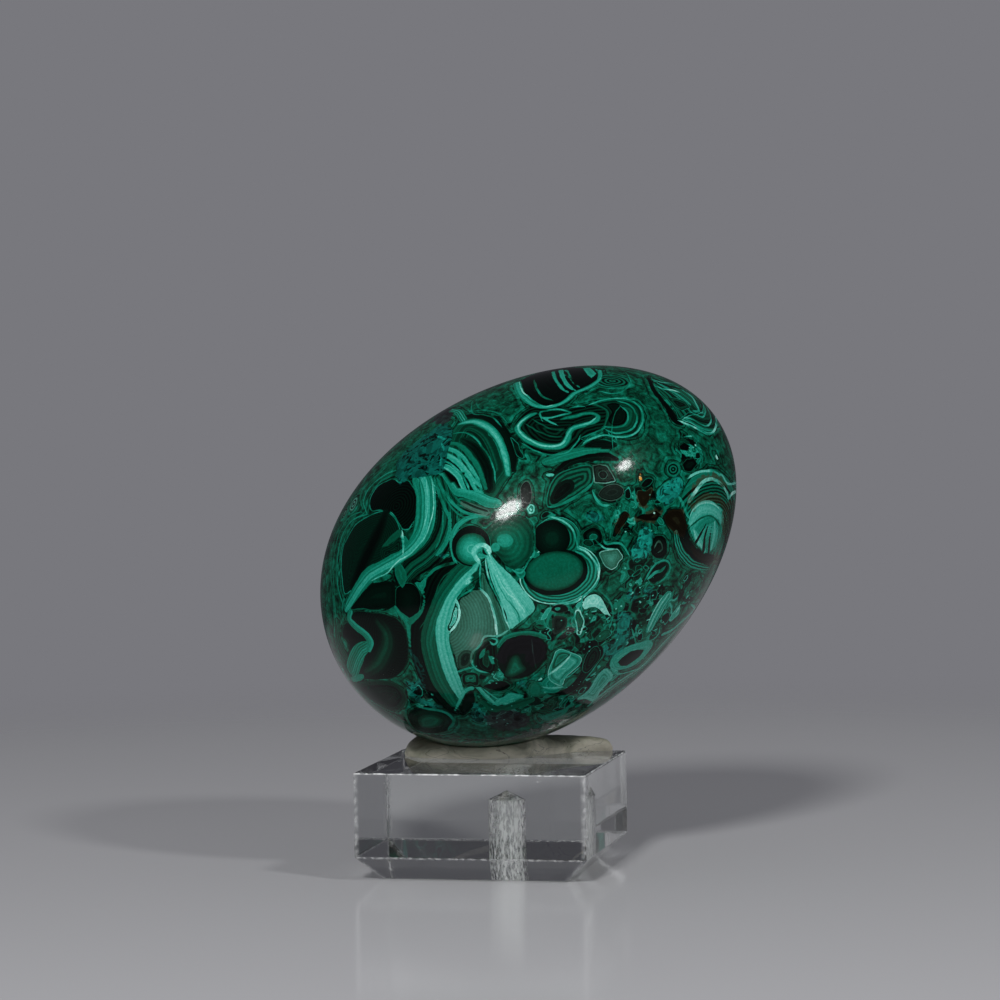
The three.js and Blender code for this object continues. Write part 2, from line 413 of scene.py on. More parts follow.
# The pattern of the front, one named shape after another. After the drawing function come
# the places in pixels of the view, then for a lobe the layer, tone and rim, for a ribbon
# also its half widths, for a nodule its size, for a line its half width and tone, and for
# a stain its kind. The last entry holds what differs from the plain style.
FRONT_PATTERN = {
    # Left side: flow lines along the edge, two black nodules and the bent pale ribbon
    "edge line 1": (line, [(368, 514), (354, 519), (345, 530), (339, 547), (337, 565), (338, 586),
        (343, 604)], 0.14, 0.5),
    "edge line 2": (line, [(362, 512), (351, 516), (342, 527), (336, 544), (333, 565), (334, 590),
        (338, 630)], 0.14, 0.44),
    "edge line 3": (line, [(350, 513), (340, 526), (334, 543), (331, 565), (332, 590), (334, 615)], 0.14,
        0.4),
    "edge line 4": (line, [(367, 513), (364, 502), (368, 490), (378, 480), (388, 473), (396, 470)], 0.15,
        0.52),
    "edge line 5": (line, [(363, 509), (361, 497), (366, 486), (376, 476), (386, 468)], 0.13, 0.44),
    "edge curl": (nodule, (354, 504), 2, 0.3, 0.5, (1.2, 1.6), dict(grey=0.4, even=1, contrast=0.25,
        pitch=0.5)),
    "small curl": (nodule, (346, 512), 3, 0.25, 0.5, (0.8, 1.2), dict(grey=0.4, even=1, contrast=0.2)),
    "upper black nodule": (lobe, [(371, 511), (370, 502), (372, 494), (378, 486), (386, 481), (394, 479),
        (400, 483), (408, 480), (413, 485), (417, 494), (418, 504), (417, 515), (413, 524), (408, 530),
        (403, 530), (399, 525), (395, 517), (389, 512), (380, 511)], 3, 0.035, 0.58, dict(centre=(396, 506),
        even=1, contrast=0.035, pitch=0.55, rim_width=0.2)),
    "lower black nodule": (lobe, [(345, 594), (342, 580), (341, 562), (343, 548), (348, 536), (355, 525),
        (363, 519), (374, 513), (384, 511), (391, 514), (398, 522), (401, 532), (402, 543), (402, 553),
        (394, 558), (383, 563), (370, 570), (360, 579), (352, 590)], 2, 0.12, 0.54, dict(even=1,
        contrast=0.02, pitch=0.4, rim_width=0.2)),
    "black bar in it": (ribbon, [(386, 513), (380, 528), (371, 546), (362, 566), (352, 586)], 3, 0.12, 0.12,
        [0.8, 1.4, 1.6, 1.5, 0.9], dict(core=0.01, core_depth=1.1, contrast=0.02, halo=False)),
    "bright facet in it": (lobe, [(382, 547), (388, 539), (394, 533), (400, 529), (401, 534), (394, 541),
        (387, 546)], 4, 0.3, 0.3, dict(core=0.24, contrast=0.05, halo=False)),
    "lower facet in it": (lobe, [(381, 549), (390, 545), (401, 537), (402, 552), (392, 557), (383, 560)], 4,
        0.13, 0.2, dict(even=1, contrast=0.05, pitch=0.35, halo=False)),
    "small green wedge": (lobe, [(403, 532), (408, 540), (413, 548), (412, 553), (404, 554)], 4, 0.4, 0.5,
        dict(sharp=True)),
    "its white edge": (line, [(402, 531), (403, 542), (403.5, 553)], 0.22, 0.88),
    "dark gap beside it": (lobe, [(404, 533), (412, 529), (417, 518), (419, 532), (415, 545), (411, 546)],
        3, 0.2, 0.2),
    "green bands behind": (ribbon, [(441, 478), (446, 498), (446, 520), (440, 541), (428, 556), (412, 568),
        (402, 580)], 1, 0.16, 0.1, [1.0, 1.5, 1.7, 1.9, 2.0, 1.8, 1.1], dict(contrast=0.3, pitch=0.4)),
    "bent pale ribbon": (ribbon, [(421, 477), (425, 490), (426, 505), (425, 520), (421, 534), (413, 546),
        (403, 555), (393, 561), (380, 568), (368, 576), (359, 588), (351, 600), (346, 609)], 5, 0.48, 0.4,
        [1.75, 1.85, 1.85, 1.85, 1.7, 1.3, 0.95, 1.05, 1.2, 1.45, 1.2, 0.95, 0.6], dict(contrast=0.16,
        pitch=0.3, core=0.54)),
    "its white line": (line, [(432, 480), (433, 496), (433, 511), (430, 525), (424, 538), (416, 549),
        (407, 556), (398, 561), (392, 568), (386, 574), (372, 580)], 0.1, 0.82),
    "its second line": (line, [(426, 480), (428, 497), (427, 514), (423, 528)], 0.07, 0.76),
    "its dark line": (line, [(419, 480), (421, 500), (420, 520), (415, 534)], 0.12, 0.34),
    "green under the bend": (lobe, [(397, 563), (403, 566), (407, 576), (403, 588), (398, 582), (395, 572)],
        4, 0.34, 0.4),
    "green lines beside it": (ribbon, [(449, 514), (450, 528), (447, 540), (441, 550), (436, 556)], 4, 0.46,
        0.5, [0.3, 0.35, 0.4, 0.35, 0.2]),
    "thin line beside it": (line, [(443, 512), (443, 528), (440, 540), (435, 549)], 0.12, 0.5),
    "left black nodule": (lobe, [(349, 608), (357, 598), (366, 589), (372, 584), (384, 581), (393, 582),
        (395, 590), (394, 606), (380, 609), (362, 610)], 2, 0.03, 0.1, dict(core=0.12, core_depth=2.4,
        contrast=0.02)),
    "middle black nodule": (lobe, [(396, 590), (400, 585), (410, 583), (418, 588), (421, 598), (420, 608),
        (416, 616), (410, 619), (403, 616), (396, 608)], 3, 0.02, 0.34, dict(core=0.07, rim_width=0.15,
        contrast=0.02)),
    "great black nodule": (lobe, [(352, 614), (375, 613), (392, 616), (400, 622), (406, 633), (409, 650),
        (406, 664), (399, 674), (386, 679), (360, 676), (350, 650)], 1, 0.04, 0.2, dict(centre=(398, 640),
        even=1, contrast=0.03, pitch=0.5)),
    "green arcs in it": (ribbon, [(378, 622), (386, 634), (386, 648), (378, 664), (366, 672)], 2, 0.05,
        0.05, [0.9, 1.9, 2.1, 2.1, 1.4], dict(core=0.21, core_depth=1.9, contrast=0.04, pitch=0.4,
        halo=False)),
    "thin seam": (line, [(350, 610), (364, 609), (380, 611), (394, 613)], 0.1, 0.34),
    "forked seam": (ribbon, [(395, 607), (400, 614), (407, 621), (409, 632), (410, 647)], 4, 0.38, 0.4,
        [0.25, 0.4, 0.6, 0.35, 0.25]),
    "its other arm": (ribbon, [(423, 592), (424, 602), (420, 613), (412, 620), (408, 624)], 4, 0.38, 0.4,
        [0.2, 0.2, 0.3, 0.5, 0.3]),
    "pale corner": (lobe, [(413, 581), (420, 583), (427, 575), (425, 586), (422, 594), (418, 588)], 4, 0.44,
        0.5, dict(sharp=True)),
    "seam to the blob": (line, [(427, 577), (434, 570), (444, 565), (456, 562)], 0.25, 0.42),
    "folded ribbon, upper": (ribbon, [(351, 612), (349, 619), (356, 627), (364, 633), (370, 641),
        (369, 649)], 5, 0.5, 0.5, [0.5, 0.6, 0.65, 0.7, 0.75, 0.6], dict(contrast=0.25, pitch=0.35)),
    "folded ribbon, lower": (ribbon, [(369, 645), (361, 650), (356, 658), (352, 671)], 4, 0.44, 0.42, [0.8,
        1.3, 1.6, 1.6], dict(even=0.5, contrast=0.14, pitch=0.42)),
    "black wedge in it": (lobe, [(346, 623), (353, 631), (362, 640), (352, 641), (343, 635)], 3, 0.03, 0.1),
    "green beside it": (ribbon, [(337, 622), (338, 640), (345, 655)], 2, 0.3, 0.3, [0.5, 1.0, 1.0],
        dict(contrast=0.3)),
    "pale end": (lobe, [(351, 677), (362, 674), (363, 679), (354, 682)], 4, 0.5, 0.5),
    "foot of the left side": (lobe, [(357, 684), (372, 680), (390, 681), (402, 688), (407, 700), (398, 711),
        (383, 707), (367, 697)], 2, 0.13, 0.2, dict(contrast=0.14)),
    # Middle: the long pale ribbon, the grey nodule that it wraps and the pale fan
    "black around": (ribbon, [(470, 562), (452, 570), (440, 585), (434, 600), (427, 615), (421, 630),
        (419, 650), (424, 670), (433, 689), (444, 703), (456, 712)], 1, 0.03, 0.05, [1.4, 2.1, 2.4, 2.2,
        2.0, 1.7, 1.5, 1.5, 1.4, 1.2, 0.7], dict(contrast=0.08, pitch=0.35)),
    "crack in it": (line, [(455, 569), (444, 577), (437, 590), (434, 605), (428, 617), (420, 628)], 0.09,
        0.3),
    "green outer band": (ribbon, [(470, 566), (461, 574), (452, 585), (443, 598), (437, 611), (432, 625),
        (429, 641), (433, 661), (439, 679), (447, 693), (454, 704)], 3, 0.3, 0.26, [1.1, 1.6, 1.7, 1.5, 1.4,
        1.4, 1.4, 1.5, 1.5, 1.3, 0.8], dict(contrast=0.1, pitch=0.32, rim_width=0.3)),
    "long pale ribbon": (ribbon, [(478, 562), (474, 570), (466, 580), (457, 590), (450, 601), (446, 613),
        (443, 625), (442.5, 640), (447, 660), (453, 678), (458, 690), (460, 696)], 5, 0.63, 0.5, [0.35, 0.5,
        0.8, 0.75, 0.8, 1.0, 1.15, 1.15, 1.25, 1.2, 1.0, 0.6], dict(contrast=0.1, pitch=0.26, core=0.68,
        core_depth=1.0)),
    "bright spot on it": (lobe, [(465, 582), (468, 577), (473, 576), (471, 582), (466, 586)], 6, 0.74, 0.7),
    "its hooked end": (ribbon, [(455, 710), (459, 702), (463, 694), (468, 689), (472, 688)], 5, 0.62, 0.6,
        [0.2, 0.3, 0.3, 0.35, 0.4]),
    "fibrous lens": (lobe, [(456, 599), (459, 605), (460, 613), (458, 622), (453, 629), (449, 633),
        (446, 628), (449, 620), (451, 612), (453, 605)], 6, 0.5, 0.6, dict(contrast=0.5, pitch=0.2)),
    "its white edge line": (line, [(456, 600), (459, 608), (459.5, 616), (456, 625), (450, 632)], 0.2, 0.9),
    "jagged line 1": (line, [(474, 587), (467, 593), (462, 595), (457, 600)], 0.12, 0.56),
    "jagged line 2": (line, [(470, 584), (464, 587), (460, 592), (455, 595)], 0.1, 0.5),
    "dark leaf": (lobe, [(470, 581), (472, 575), (477, 571), (481, 569), (480, 576), (474, 581)], 6, 0.22,
        0.3),
    "dark corner": (lobe, [(470, 589), (476, 585), (481, 579), (481, 589), (476, 591)], 5, 0.08, 0.1,
        dict(sharp=True)),
    "grey nodule": (lobe, [(475, 590), (467, 595), (460, 601), (461, 612), (458, 624), (452, 633),
        (450, 641), (455, 655), (458, 668), (465, 668), (471, 661), (475, 652), (480, 644), (487, 637),
        (497, 635), (495, 620), (492, 608), (487, 597), (481, 590)], 4, 0.36, 0.36, dict(centre=(440, 622),
        core=0.46, core_depth=3.5, even=1, contrast=0.03, pitch=0.5, grey=0.4)),
    "its dark foot": (lobe, [(458, 656), (466, 650), (473, 654), (470, 666), (459, 669)], 6, 0.2, 0.2,
        dict(core=0.16, grey=0.4, halo=False)),
    "its white boundary": (line, [(480, 589), (486, 595), (491, 604), (494, 613), (496, 624), (497, 636)],
        0.2, 0.86),
    "boundary above": (line, [(480, 562), (480, 575), (481, 589)], 0.14, 0.7),
    "grey-green band": (lobe, [(482, 566), (486, 580), (492, 592), (499, 605), (505, 618), (509, 630),
        (498, 636), (497, 622), (493, 607), (487, 596), (482, 590)], 3, 0.34, 0.4, dict(apex=(478, 540),
        contrast=0.12, pitch=2.0, grey=0.2)),
    "fan": (lobe, [(486, 555), (489, 552), (496, 561), (505, 570), (514, 579), (522, 588), (529, 596),
        (533, 603), (534, 610), (526, 618), (518, 624), (510, 629), (506, 614), (500, 600), (493, 585),
        (488, 568)], 6, 0.68, 0.74, dict(apex=(481, 540), contrast=0.12, pitch=2.2, rim_width=0.1,
        core=0.76, core_depth=2.5)),
    "hollow in the fan": (lobe, [(508, 606), (514, 605), (518, 611), (521, 621), (514, 625), (509, 616)], 5,
        0.4, 0.6, dict(contrast=0.3, halo=False)),
    "fan line 1": (line, [(485, 560), (488, 575), (493, 590), (500, 603), (505, 617), (510, 629)], 0.14,
        0.82),
    "fan line 2": (line, [(491, 560), (497, 575), (505, 590), (516, 601), (524, 611)], 0.1, 0.84),
    "fan line 3": (line, [(494, 574), (501, 590), (509, 602), (517, 612), (520, 622)], 0.1, 0.46),
    # The pale blob with its dark hood, and the green, black and oval nodules beside it
    "arc over the blob": (ribbon, [(478, 516), (467, 519), (458, 525), (453, 535), (452, 547), (455, 562)],
        3, 0.46, 0.54, [0.3, 0.4, 0.45, 0.45, 0.4, 0.3], dict(contrast=0.2, pitch=0.35)),
    "dark hood": (nodule, (471, 546), 4, 0.05, 0.5, (3.4, 3.5), dict(contrast=0.03)),
    "pale blob": (nodule, (472, 549), 5, 0.3, 0.26, (2.7, 2.7), dict(core=0.62, core_depth=1.7,
        contrast=0.05, pitch=0.25)),
    "rosette": (nodule, (482, 553), 6, 0.5, 0.4, (1.1, 1.0), dict(contrast=0.2)),
    "rosette ring": (line, [(480, 563), (476, 558), (474, 552), (477, 547), (483, 545), (488, 548),
        (490, 554)], 0.4, 0.86),
    "rosette eye 1": (line, [(478, 553), (480, 552)], 0.18, 0.2),
    "rosette eye 2": (line, [(483, 549), (484, 553), (487, 554)], 0.22, 0.08),
    "green nodule": (lobe, [(484, 531), (495, 521), (508, 517), (521, 518), (530, 524), (533, 535),
        (533, 549), (529, 559), (520, 570), (511, 567), (502, 560), (494, 551), (487, 541)], 3, 0.2, 0.24,
        dict(centre=(506, 543), core=0.34, core_depth=2.2, even=1, contrast=0.025, pitch=0.9)),
    "heart of it": (nodule, (505, 541), 4, 0.5, 0.44, (1.4, 1.2), dict(core=0.54, core_depth=0.6,
        contrast=0.03)),
    "second heart": (nodule, (496, 547), 5, 0.52, 0.46, (0.8, 0.8), dict(contrast=0.03)),
    "line round it": (line, [(526, 517), (532, 523), (534.5, 535), (534.5, 553), (529, 561), (521, 573),
        (512, 569)], 0.14, 0.56),
    "junction 1": (lobe, [(531, 557), (534, 552), (540, 554), (536, 559)], 4, 0.44, 0.5),
    "junction 2": (lobe, [(515, 571), (521, 569), (526, 573), (521, 579)], 4, 0.44, 0.5),
    "crescent": (nodule, (557, 538), 2, 0.3, 0.66, (3.9, 3.6), dict(even=1, contrast=0.1, pitch=0.6)),
    "black round nodule": (nodule, (552, 538), 5, 0.015, 0.03, (3.05, 3.1), dict(core=0.15, core_depth=2.2,
        contrast=0.02)),
    "oval's bands": (nodule, (561, 574), 1, 0.42, 0.9, (6.9, 5.0), dict(turn=10, even=0.7, contrast=0.2,
        pitch=0.5, rim_width=0.2)),
    "oval's dark ring": (nodule, (556, 572), 3, 0.03, 0.04, (5.5, 3.9), dict(turn=6)),
    "oval": (nodule, (555, 571), 6, 0.2, 0.2, (4.9, 3.3), dict(turn=6, core=0.34, core_depth=0.6,
        contrast=0.02)),
    "oval's boundary": (line, [(578, 547), (586, 552), (592, 558), (597, 566), (599, 576), (596, 585),
        (588, 593), (577, 601), (565, 604)], 0.17, 0.9),
    "outer boundary": (line, [(550, 517), (560, 519), (569, 525), (575, 535), (578, 547)], 0.15, 0.72),
    # Upper left: the striped sector, the pale seam under it and the flow lines below
    "sector": (lobe, [(458, 424), (468, 419), (482, 419), (496, 428), (506, 444), (512, 470), (504, 484),
        (492, 500), (470, 494), (455, 480), (446, 466), (446, 446), (450, 434)], 1, 0.2, 0.1,
        dict(contrast=0.14, pitch=0.4)),
    "its dark halo": (ribbon, [(464, 417), (478, 415), (491, 419), (501, 428), (508, 440), (512, 455),
        (513, 470)], 2, 0.1, 0.1, [0.3, 0.6, 0.7, 0.75, 0.8, 0.8, 0.4]),
    "its dark heart": (ribbon, [(462, 439), (474, 446), (483, 458), (489, 472), (490, 488)], 2, 0.16, 0.16,
        [0.5, 1.0, 1.2, 1.2, 1.0], dict(core=0.02, core_depth=0.9)),
    "outer pale arc": (ribbon, [(459, 424), (466, 422), (474, 422), (483, 425), (492, 431), (499, 440),
        (503, 450), (506, 461), (508, 475)], 5, 0.5, 0.36, [0.4, 0.6, 0.7, 0.75, 0.75, 0.75, 0.75, 0.7,
        0.55], dict(core=0.68, core_depth=0.7, contrast=0.08, pitch=0.3, rim_width=0.25)),
    "dark line in it": (line, [(468, 426), (479, 427), (489, 434), (496, 443), (500, 454), (504, 474)],
        0.08, 0.26),
    "thin pale arc": (line, [(452, 434), (461, 432.5), (468, 434), (477, 440), (485, 450), (490, 460),
        (494, 471), (496, 482)], 0.13, 0.54),
    "green stripe": (ribbon, [(448, 443), (456, 443.5), (463, 448), (470, 456), (477, 466), (483, 478),
        (486, 489)], 3, 0.36, 0.34, [0.3, 0.4, 0.45, 0.45, 0.45, 0.4, 0.3]),
    "pale stripe 1": (ribbon, [(449, 449), (457, 452), (464, 459), (472, 469), (478, 480), (482, 493)], 5,
        0.6, 0.5, [0.45, 0.4, 0.36, 0.34, 0.32, 0.25]),
    "pale stripe 2": (ribbon, [(447, 455.5), (455, 460), (463, 468), (470, 478), (475, 487), (478, 494)], 5,
        0.64, 0.5, [0.5, 0.52, 0.55, 0.5, 0.4, 0.25]),
    "pale stripe 3": (line, [(446, 461), (452, 464.5), (459, 472), (465, 481), (470, 491)], 0.16, 0.66),
    "pale stripe 4": (ribbon, [(445, 466), (452, 470), (458, 477), (462, 484), (465, 490)], 5, 0.62, 0.6,
        [0.45, 0.5, 0.5, 0.45, 0.3]),
    "black between": (ribbon, [(443, 460), (455, 467), (465, 480), (474, 495)], 4, 0.08, 0.1, [1.2, 1.5,
        1.3, 0.6]),
    "black wedge under": (ribbon, [(443, 471), (449, 475), (455, 482), (459, 488)], 6, 0.02, 0.05, [0.25,
        0.35, 0.35, 0.2]),
    "pale seam": (ribbon, [(438, 472), (444, 477), (450, 484), (456, 491), (464, 493), (472, 495),
        (480, 498), (488, 502), (497, 503)], 6, 0.5, 0.6, [0.25, 0.35, 0.45, 0.6, 0.7, 0.8, 0.9, 1.0, 0.8],
        dict(core=0.6, contrast=0.12, pitch=0.4)),
    "flow line 1": (line, [(437, 478), (441, 488), (448, 498), (456, 506), (464, 512), (474, 515),
        (486, 516)], 0.25, 0.52),
    "flow line 2": (line, [(434, 478), (439, 494), (444, 506), (449, 518)], 0.3, 0.46),
    "flow line 3": (line, [(450, 490), (458, 500), (470, 508), (482, 512), (492, 512)], 0.16, 0.4),
    "flow line 4": (line, [(438, 482), (446, 500), (456, 512), (466, 518)], 0.14, 0.42),
    "grey seam below": (ribbon, [(462, 503), (474, 508), (486, 512)], 2, 0.3, 0.3, [0.4, 0.8, 0.8],
        dict(grey=0.5, contrast=0.3, pitch=0.3)),
    "pale fold": (ribbon, [(451, 410), (458, 412), (463, 418), (465, 424)], 4, 0.44, 0.4, [0.5, 0.7, 0.7,
        0.4], dict(even=0.6, contrast=0.2, pitch=0.4)),
    "step line 1": (line, [(471, 402), (473, 413), (484, 414.5), (493, 418), (501, 426)], 0.13, 0.5),
    "step line 2": (line, [(476, 402), (479, 409), (489, 410), (499, 414), (508, 423)], 0.12, 0.42),
    "leaf": (lobe, [(511, 437), (517, 443), (521, 450), (525, 459), (517, 456), (513, 447)], 3, 0.06, 0.5),
    # Partly painted highlight: a dark nodule, greyed where the haze round the key highlight lies over it.
    "nodule greyed by the highlight's haze": (lobe, [(520, 490), (523, 483), (528, 481), (532, 490), (531, 501), (527, 509),
        (522, 507)], 4, 0.14, 0.5, dict(grey=0.8, contrast=0.2)),
    "banded chip": (lobe, [(526, 508), (531, 503), (535, 506), (535, 513), (529, 515)], 5, 0.62, 0.7,
        dict(sharp=True, even=1, contrast=0.2, pitch=0.35)),
    # Top: the striped lens, the closed loop and the ringed oval
    "striped lens": (lobe, [(518, 383), (521, 392), (528, 400), (538, 406), (552, 406), (562, 402),
        (570, 397), (576, 392), (587, 387), (596, 381), (601, 372), (588, 369), (570, 368), (548, 370),
        (532, 375)], 2, 0.02, 0.1, dict(contrast=0.02)),
    "lens band": (ribbon, [(517, 383), (520, 392), (526, 399), (534, 405), (543, 407.5), (552, 406.5),
        (562, 403), (569, 398), (575, 393), (585, 389), (594, 384), (600, 378), (600, 370)], 5, 0.48, 0.34,
        [0.8, 0.75, 0.6, 0.5, 0.4, 0.4, 0.4, 0.45, 0.45, 0.45, 0.45, 0.4, 0.4], dict(contrast=0.2)),
    "lens line": (line, [(519, 382), (523, 391), (530, 399), (542, 406), (553, 405)], 0.13, 0.85),
    "lens arc": (line, [(534, 380), (537, 388), (543, 396), (552, 400)], 0.2, 0.46),
    "lens stripe 1": (ribbon, [(553, 372), (555, 380), (561, 388), (568, 392)], 4, 0.5, 0.5, [0.3, 0.32,
        0.3, 0.2]),
    "lens stripe 2": (ribbon, [(560, 371), (563, 379), (569, 387), (575, 391)], 4, 0.62, 0.6, [0.4, 0.4,
        0.36, 0.2]),
    "lens stripe 3": (ribbon, [(567, 370), (570, 377), (575, 384), (581, 388)], 4, 0.46, 0.5, [0.25, 0.25,
        0.2, 0.15]),
    "lens block": (lobe, [(583, 368), (589, 368), (596, 374), (592, 378), (588, 375)], 4, 0.54, 0.5,
        dict(sharp=True)),
    "lens stripe 4": (line, [(596, 369), (600, 374), (598, 379)], 0.25, 0.5),
    "curl rings": (nodule, (612, 381), 1, 0.2, 0.5, (3.1, 2.3), dict(even=1, contrast=0.16, pitch=0.62)),
    "curl line": (line, [(600, 391), (611, 393.5), (621, 392), (628, 387), (630, 380), (626, 373)], 0.14,
        0.56),
    "slit": (line, [(571, 407.5), (578, 406.5), (585, 406.5)], 0.17, 0.84),
    "dark of the loop": (lobe, [(514, 429), (521, 416), (534, 408), (560, 410), (592, 404), (616, 404),
        (630, 410), (631, 424), (610, 430), (590, 434), (582, 443), (568, 454), (548, 455), (528, 447)], 1,
        0.08, 0.3, dict(even=0.5, contrast=0.14, pitch=0.7)),
    "loop": (ribbon, [(536, 413), (529, 416), (522, 421), (518, 427), (519, 432), (525, 438), (533, 442.5),
        (541, 445.5), (549, 447), (558, 447), (564, 444), (568, 438), (569.5, 432), (573, 428),
        (582, 425.5), (590, 423), (597, 420), (598, 416), (593, 413.5), (584, 414), (575, 416.5),
        (566, 418), (558, 420)], 5, 0.5, 0.34, [0.3, 0.45, 0.5, 0.55, 0.6, 0.62, 0.62, 0.62, 0.62, 0.6, 0.6,
        0.55, 0.5, 0.48, 0.46, 0.45, 0.42, 0.4, 0.35, 0.32, 0.3, 0.28, 0.15], dict(contrast=0.05,
        rim_width=0.2)),
    "loop's bright line": (line, [(529, 416), (521, 422), (518.5, 428), (524, 436), (533, 441.5),
        (541, 445), (549, 446.5), (558, 446), (564, 442.5), (568, 434), (572, 428.5), (582, 425),
        (590, 422.5), (596, 418)], 0.16, 0.76),
    "stripe in the loop 1": (line, [(526, 424), (538, 431), (550, 436), (562, 437)], 0.14, 0.36),
    "stripe in the loop 2": (line, [(532, 419), (543, 426), (555, 430), (566, 430)], 0.12, 0.32),
    "little loop": (line, [(541, 419), (540, 413), (547, 410.5), (558, 409.5), (568, 411.5), (570, 413.5),
        (562, 415), (552, 417.5), (544, 418.5), (550, 422), (557, 425)], 0.17, 0.6),
    "its filling": (lobe, [(541, 417), (543, 412), (556, 410.5), (567, 412), (556, 416)], 4, 0.1, 0.2),
    "ring of the oval 1": (line, [(522, 443), (535, 450), (548, 454.5), (558, 455), (568, 452), (576, 443),
        (580, 436)], 0.12, 0.52),
    "ring of the oval 2": (line, [(583, 443), (590, 439), (604, 435), (615, 437), (626, 437), (635, 433),
        (641, 426), (643, 416), (640, 407), (633, 401), (623, 398.5), (612, 399), (600, 401), (588, 405)],
        0.14, 0.64),
    "ring of the oval 3": (line, [(606, 430), (616, 433), (626, 432), (634, 427), (637, 418), (634, 409),
        (627, 403.5), (617, 401)], 0.15, 0.56),
    "ring of the oval 4": (line, [(604, 426.5), (616, 427.5), (624, 425), (628, 419), (627, 412),
        (620, 406)], 0.14, 0.52),
    "green round the oval": (lobe, [(590, 404), (605, 400), (622, 399), (636, 403), (643, 413), (641, 427),
        (632, 436), (614, 437), (600, 434), (604, 424), (606, 412), (598, 407)], 2, 0.22, 0.2,
        dict(contrast=0.12)),
    "black heart of the oval": (lobe, [(606, 405), (616, 403), (624, 408), (627, 416), (623, 424),
        (613, 426), (608, 420), (612, 412)], 3, 0.02, 0.1),
    "step bands 1": (line, [(581, 438), (592, 434), (600, 430), (606, 426.5)], 0.12, 0.46),
    "step bands 2": (line, [(584, 441), (595, 436.5), (603, 432.5)], 0.12, 0.46),
    "crack": (line, [(620, 406), (614, 415), (612, 430), (613, 450)], 0.06, 0.5),
    "green below": (ribbon, [(545, 462), (560, 457), (575, 453), (590, 450), (608, 450)], 2, 0.36, 0.36,
        [0.7, 0.9, 0.9, 0.7, 0.4], dict(contrast=0.14)),
    "black below": (lobe, [(584, 447), (592, 441), (604, 440), (616, 444), (612, 449), (596, 449)], 2, 0.03,
        0.1),
    "black above the leaf": (ribbon, [(558, 470), (571, 461), (588, 457), (606, 456), (616, 459)], 1, 0.04,
        0.05, [0.4, 0.7, 0.8, 0.7, 0.4]),
    # Upper right: the black rift and two torn, banded fragments
    "black rift": (ribbon, [(648, 378), (653, 388), (659, 396), (665, 404), (671, 413), (675, 420),
        (682, 424)], 6, 0.01, 0.02, [0.3, 0.45, 0.5, 0.55, 0.75, 0.7, 0.3]),
    "torn fragment": (lobe, [(651, 377), (662, 380), (674, 385), (684, 390), (693, 399), (699, 408),
        (696, 413), (688, 413), (680, 419), (675, 410), (667, 400), (658, 391)], 3, 0.3, 0.5,
        dict(apex=(590, 350), contrast=0.34, pitch=1.5)),
    "its white line 1": (line, [(655, 386), (664, 389), (672, 390), (680, 392.5)], 0.2, 0.9),
    "its white line 2": (line, [(652, 379), (662, 382.5), (673, 383.5)], 0.12, 0.7),
    "its dark band": (ribbon, [(656, 382), (668, 386), (682, 389)], 4, 0.02, 0.02, [0.25, 0.35, 0.2]),
    "its dark hollow": (lobe, [(667, 397), (676, 398), (686, 402), (690, 408), (682, 411), (675, 407)], 4,
        0.1, 0.5, dict(sharp=True, contrast=0.2)),
    "banded fragment": (lobe, [(682, 420), (690, 415), (699, 413), (703, 405), (700, 393), (707, 398),
        (713, 408), (717, 420), (715, 431), (708, 433), (700, 429), (692, 424)], 4, 0.3, 0.76,
        dict(centre=(690, 398), contrast=0.3, pitch=0.6, rim_width=0.15)),
    "its outer line": (line, [(679, 421), (687, 424), (694, 427), (701, 431), (708, 434), (714, 431),
        (716, 423), (714, 414), (709, 405), (703, 396)], 0.2, 0.86),
    "inner line of it": (line, [(684, 417), (692, 419), (699, 423), (706, 426), (711, 422), (710, 414),
        (706, 406)], 0.15, 0.7),
    "its third line": (line, [(690, 412), (697, 415), (703, 417), (706, 411)], 0.14, 0.62),
    "bright fringe": (line, [(688, 393), (693, 398), (696, 404), (699, 411), (693, 411)], 0.24, 0.7),
    "streaks beside it": (ribbon, [(655, 381), (668, 389), (681, 397), (690, 404)], 4, 0.34, 0.4, [0.3, 0.7,
        0.8, 0.3], dict(contrast=0.4, pitch=0.3)),
    "pale dash": (line, [(684, 437), (692, 436)], 0.14, 0.74),
    "white fleck": (nodule, (717, 457), 6, 0.95, 0.95, (0.3, 0.6), dict(turn=35)),
    "dark pocket 1": (lobe, [(678, 446), (684, 442), (690, 446), (688, 451), (681, 450)], 4, 0.02, 0.3,
        dict(sharp=True)),
    "dark pocket 2": (lobe, [(682, 464), (687, 459), (694, 458), (698, 464), (691, 472), (684, 471)], 4,
        0.03, 0.3, dict(sharp=True)),
    "ear rings": (nodule, (673, 469), 3, 0.2, 0.5, (1.5, 1.2), dict(turn=40, even=1, contrast=0.2,
        pitch=0.5)),
    # Right end: the stained rosette with its pale fan, and the dark torn zone beside it
    "rosette ground": (lobe, [(681, 500), (686, 486), (694, 475), (704, 470), (713, 469), (723, 474),
        (732, 486), (736, 502), (735, 522), (729, 541), (719, 558), (708, 556), (697, 547), (688, 532),
        (683, 517)], 1, 0.3, 0.3, dict(centre=(707, 549), contrast=0.3, pitch=0.5)),
    "rosette outer line": (line, [(688, 478), (696, 473), (705, 471), (713, 471), (721, 475), (727, 483),
        (732, 484), (738, 482)], 0.2, 0.78),
    "rosette bright line": (line, [(688, 503), (692, 497), (697, 489), (703, 482), (709, 479), (716, 480),
        (722, 485), (727, 494), (729, 498), (733, 493), (737, 491)], 0.3, 0.96),
    "torn edge": (line, [(678, 496), (683, 503), (686, 511), (689, 518)], 0.25, 0.66),
    "rosette bands": (lobe, [(688, 504), (692, 495), (698, 486), (706, 480), (716, 481), (723, 488),
        (728, 500), (729, 522), (724, 541), (715, 554), (704, 553), (693, 540), (687, 522)], 2, 0.3, 0.3,
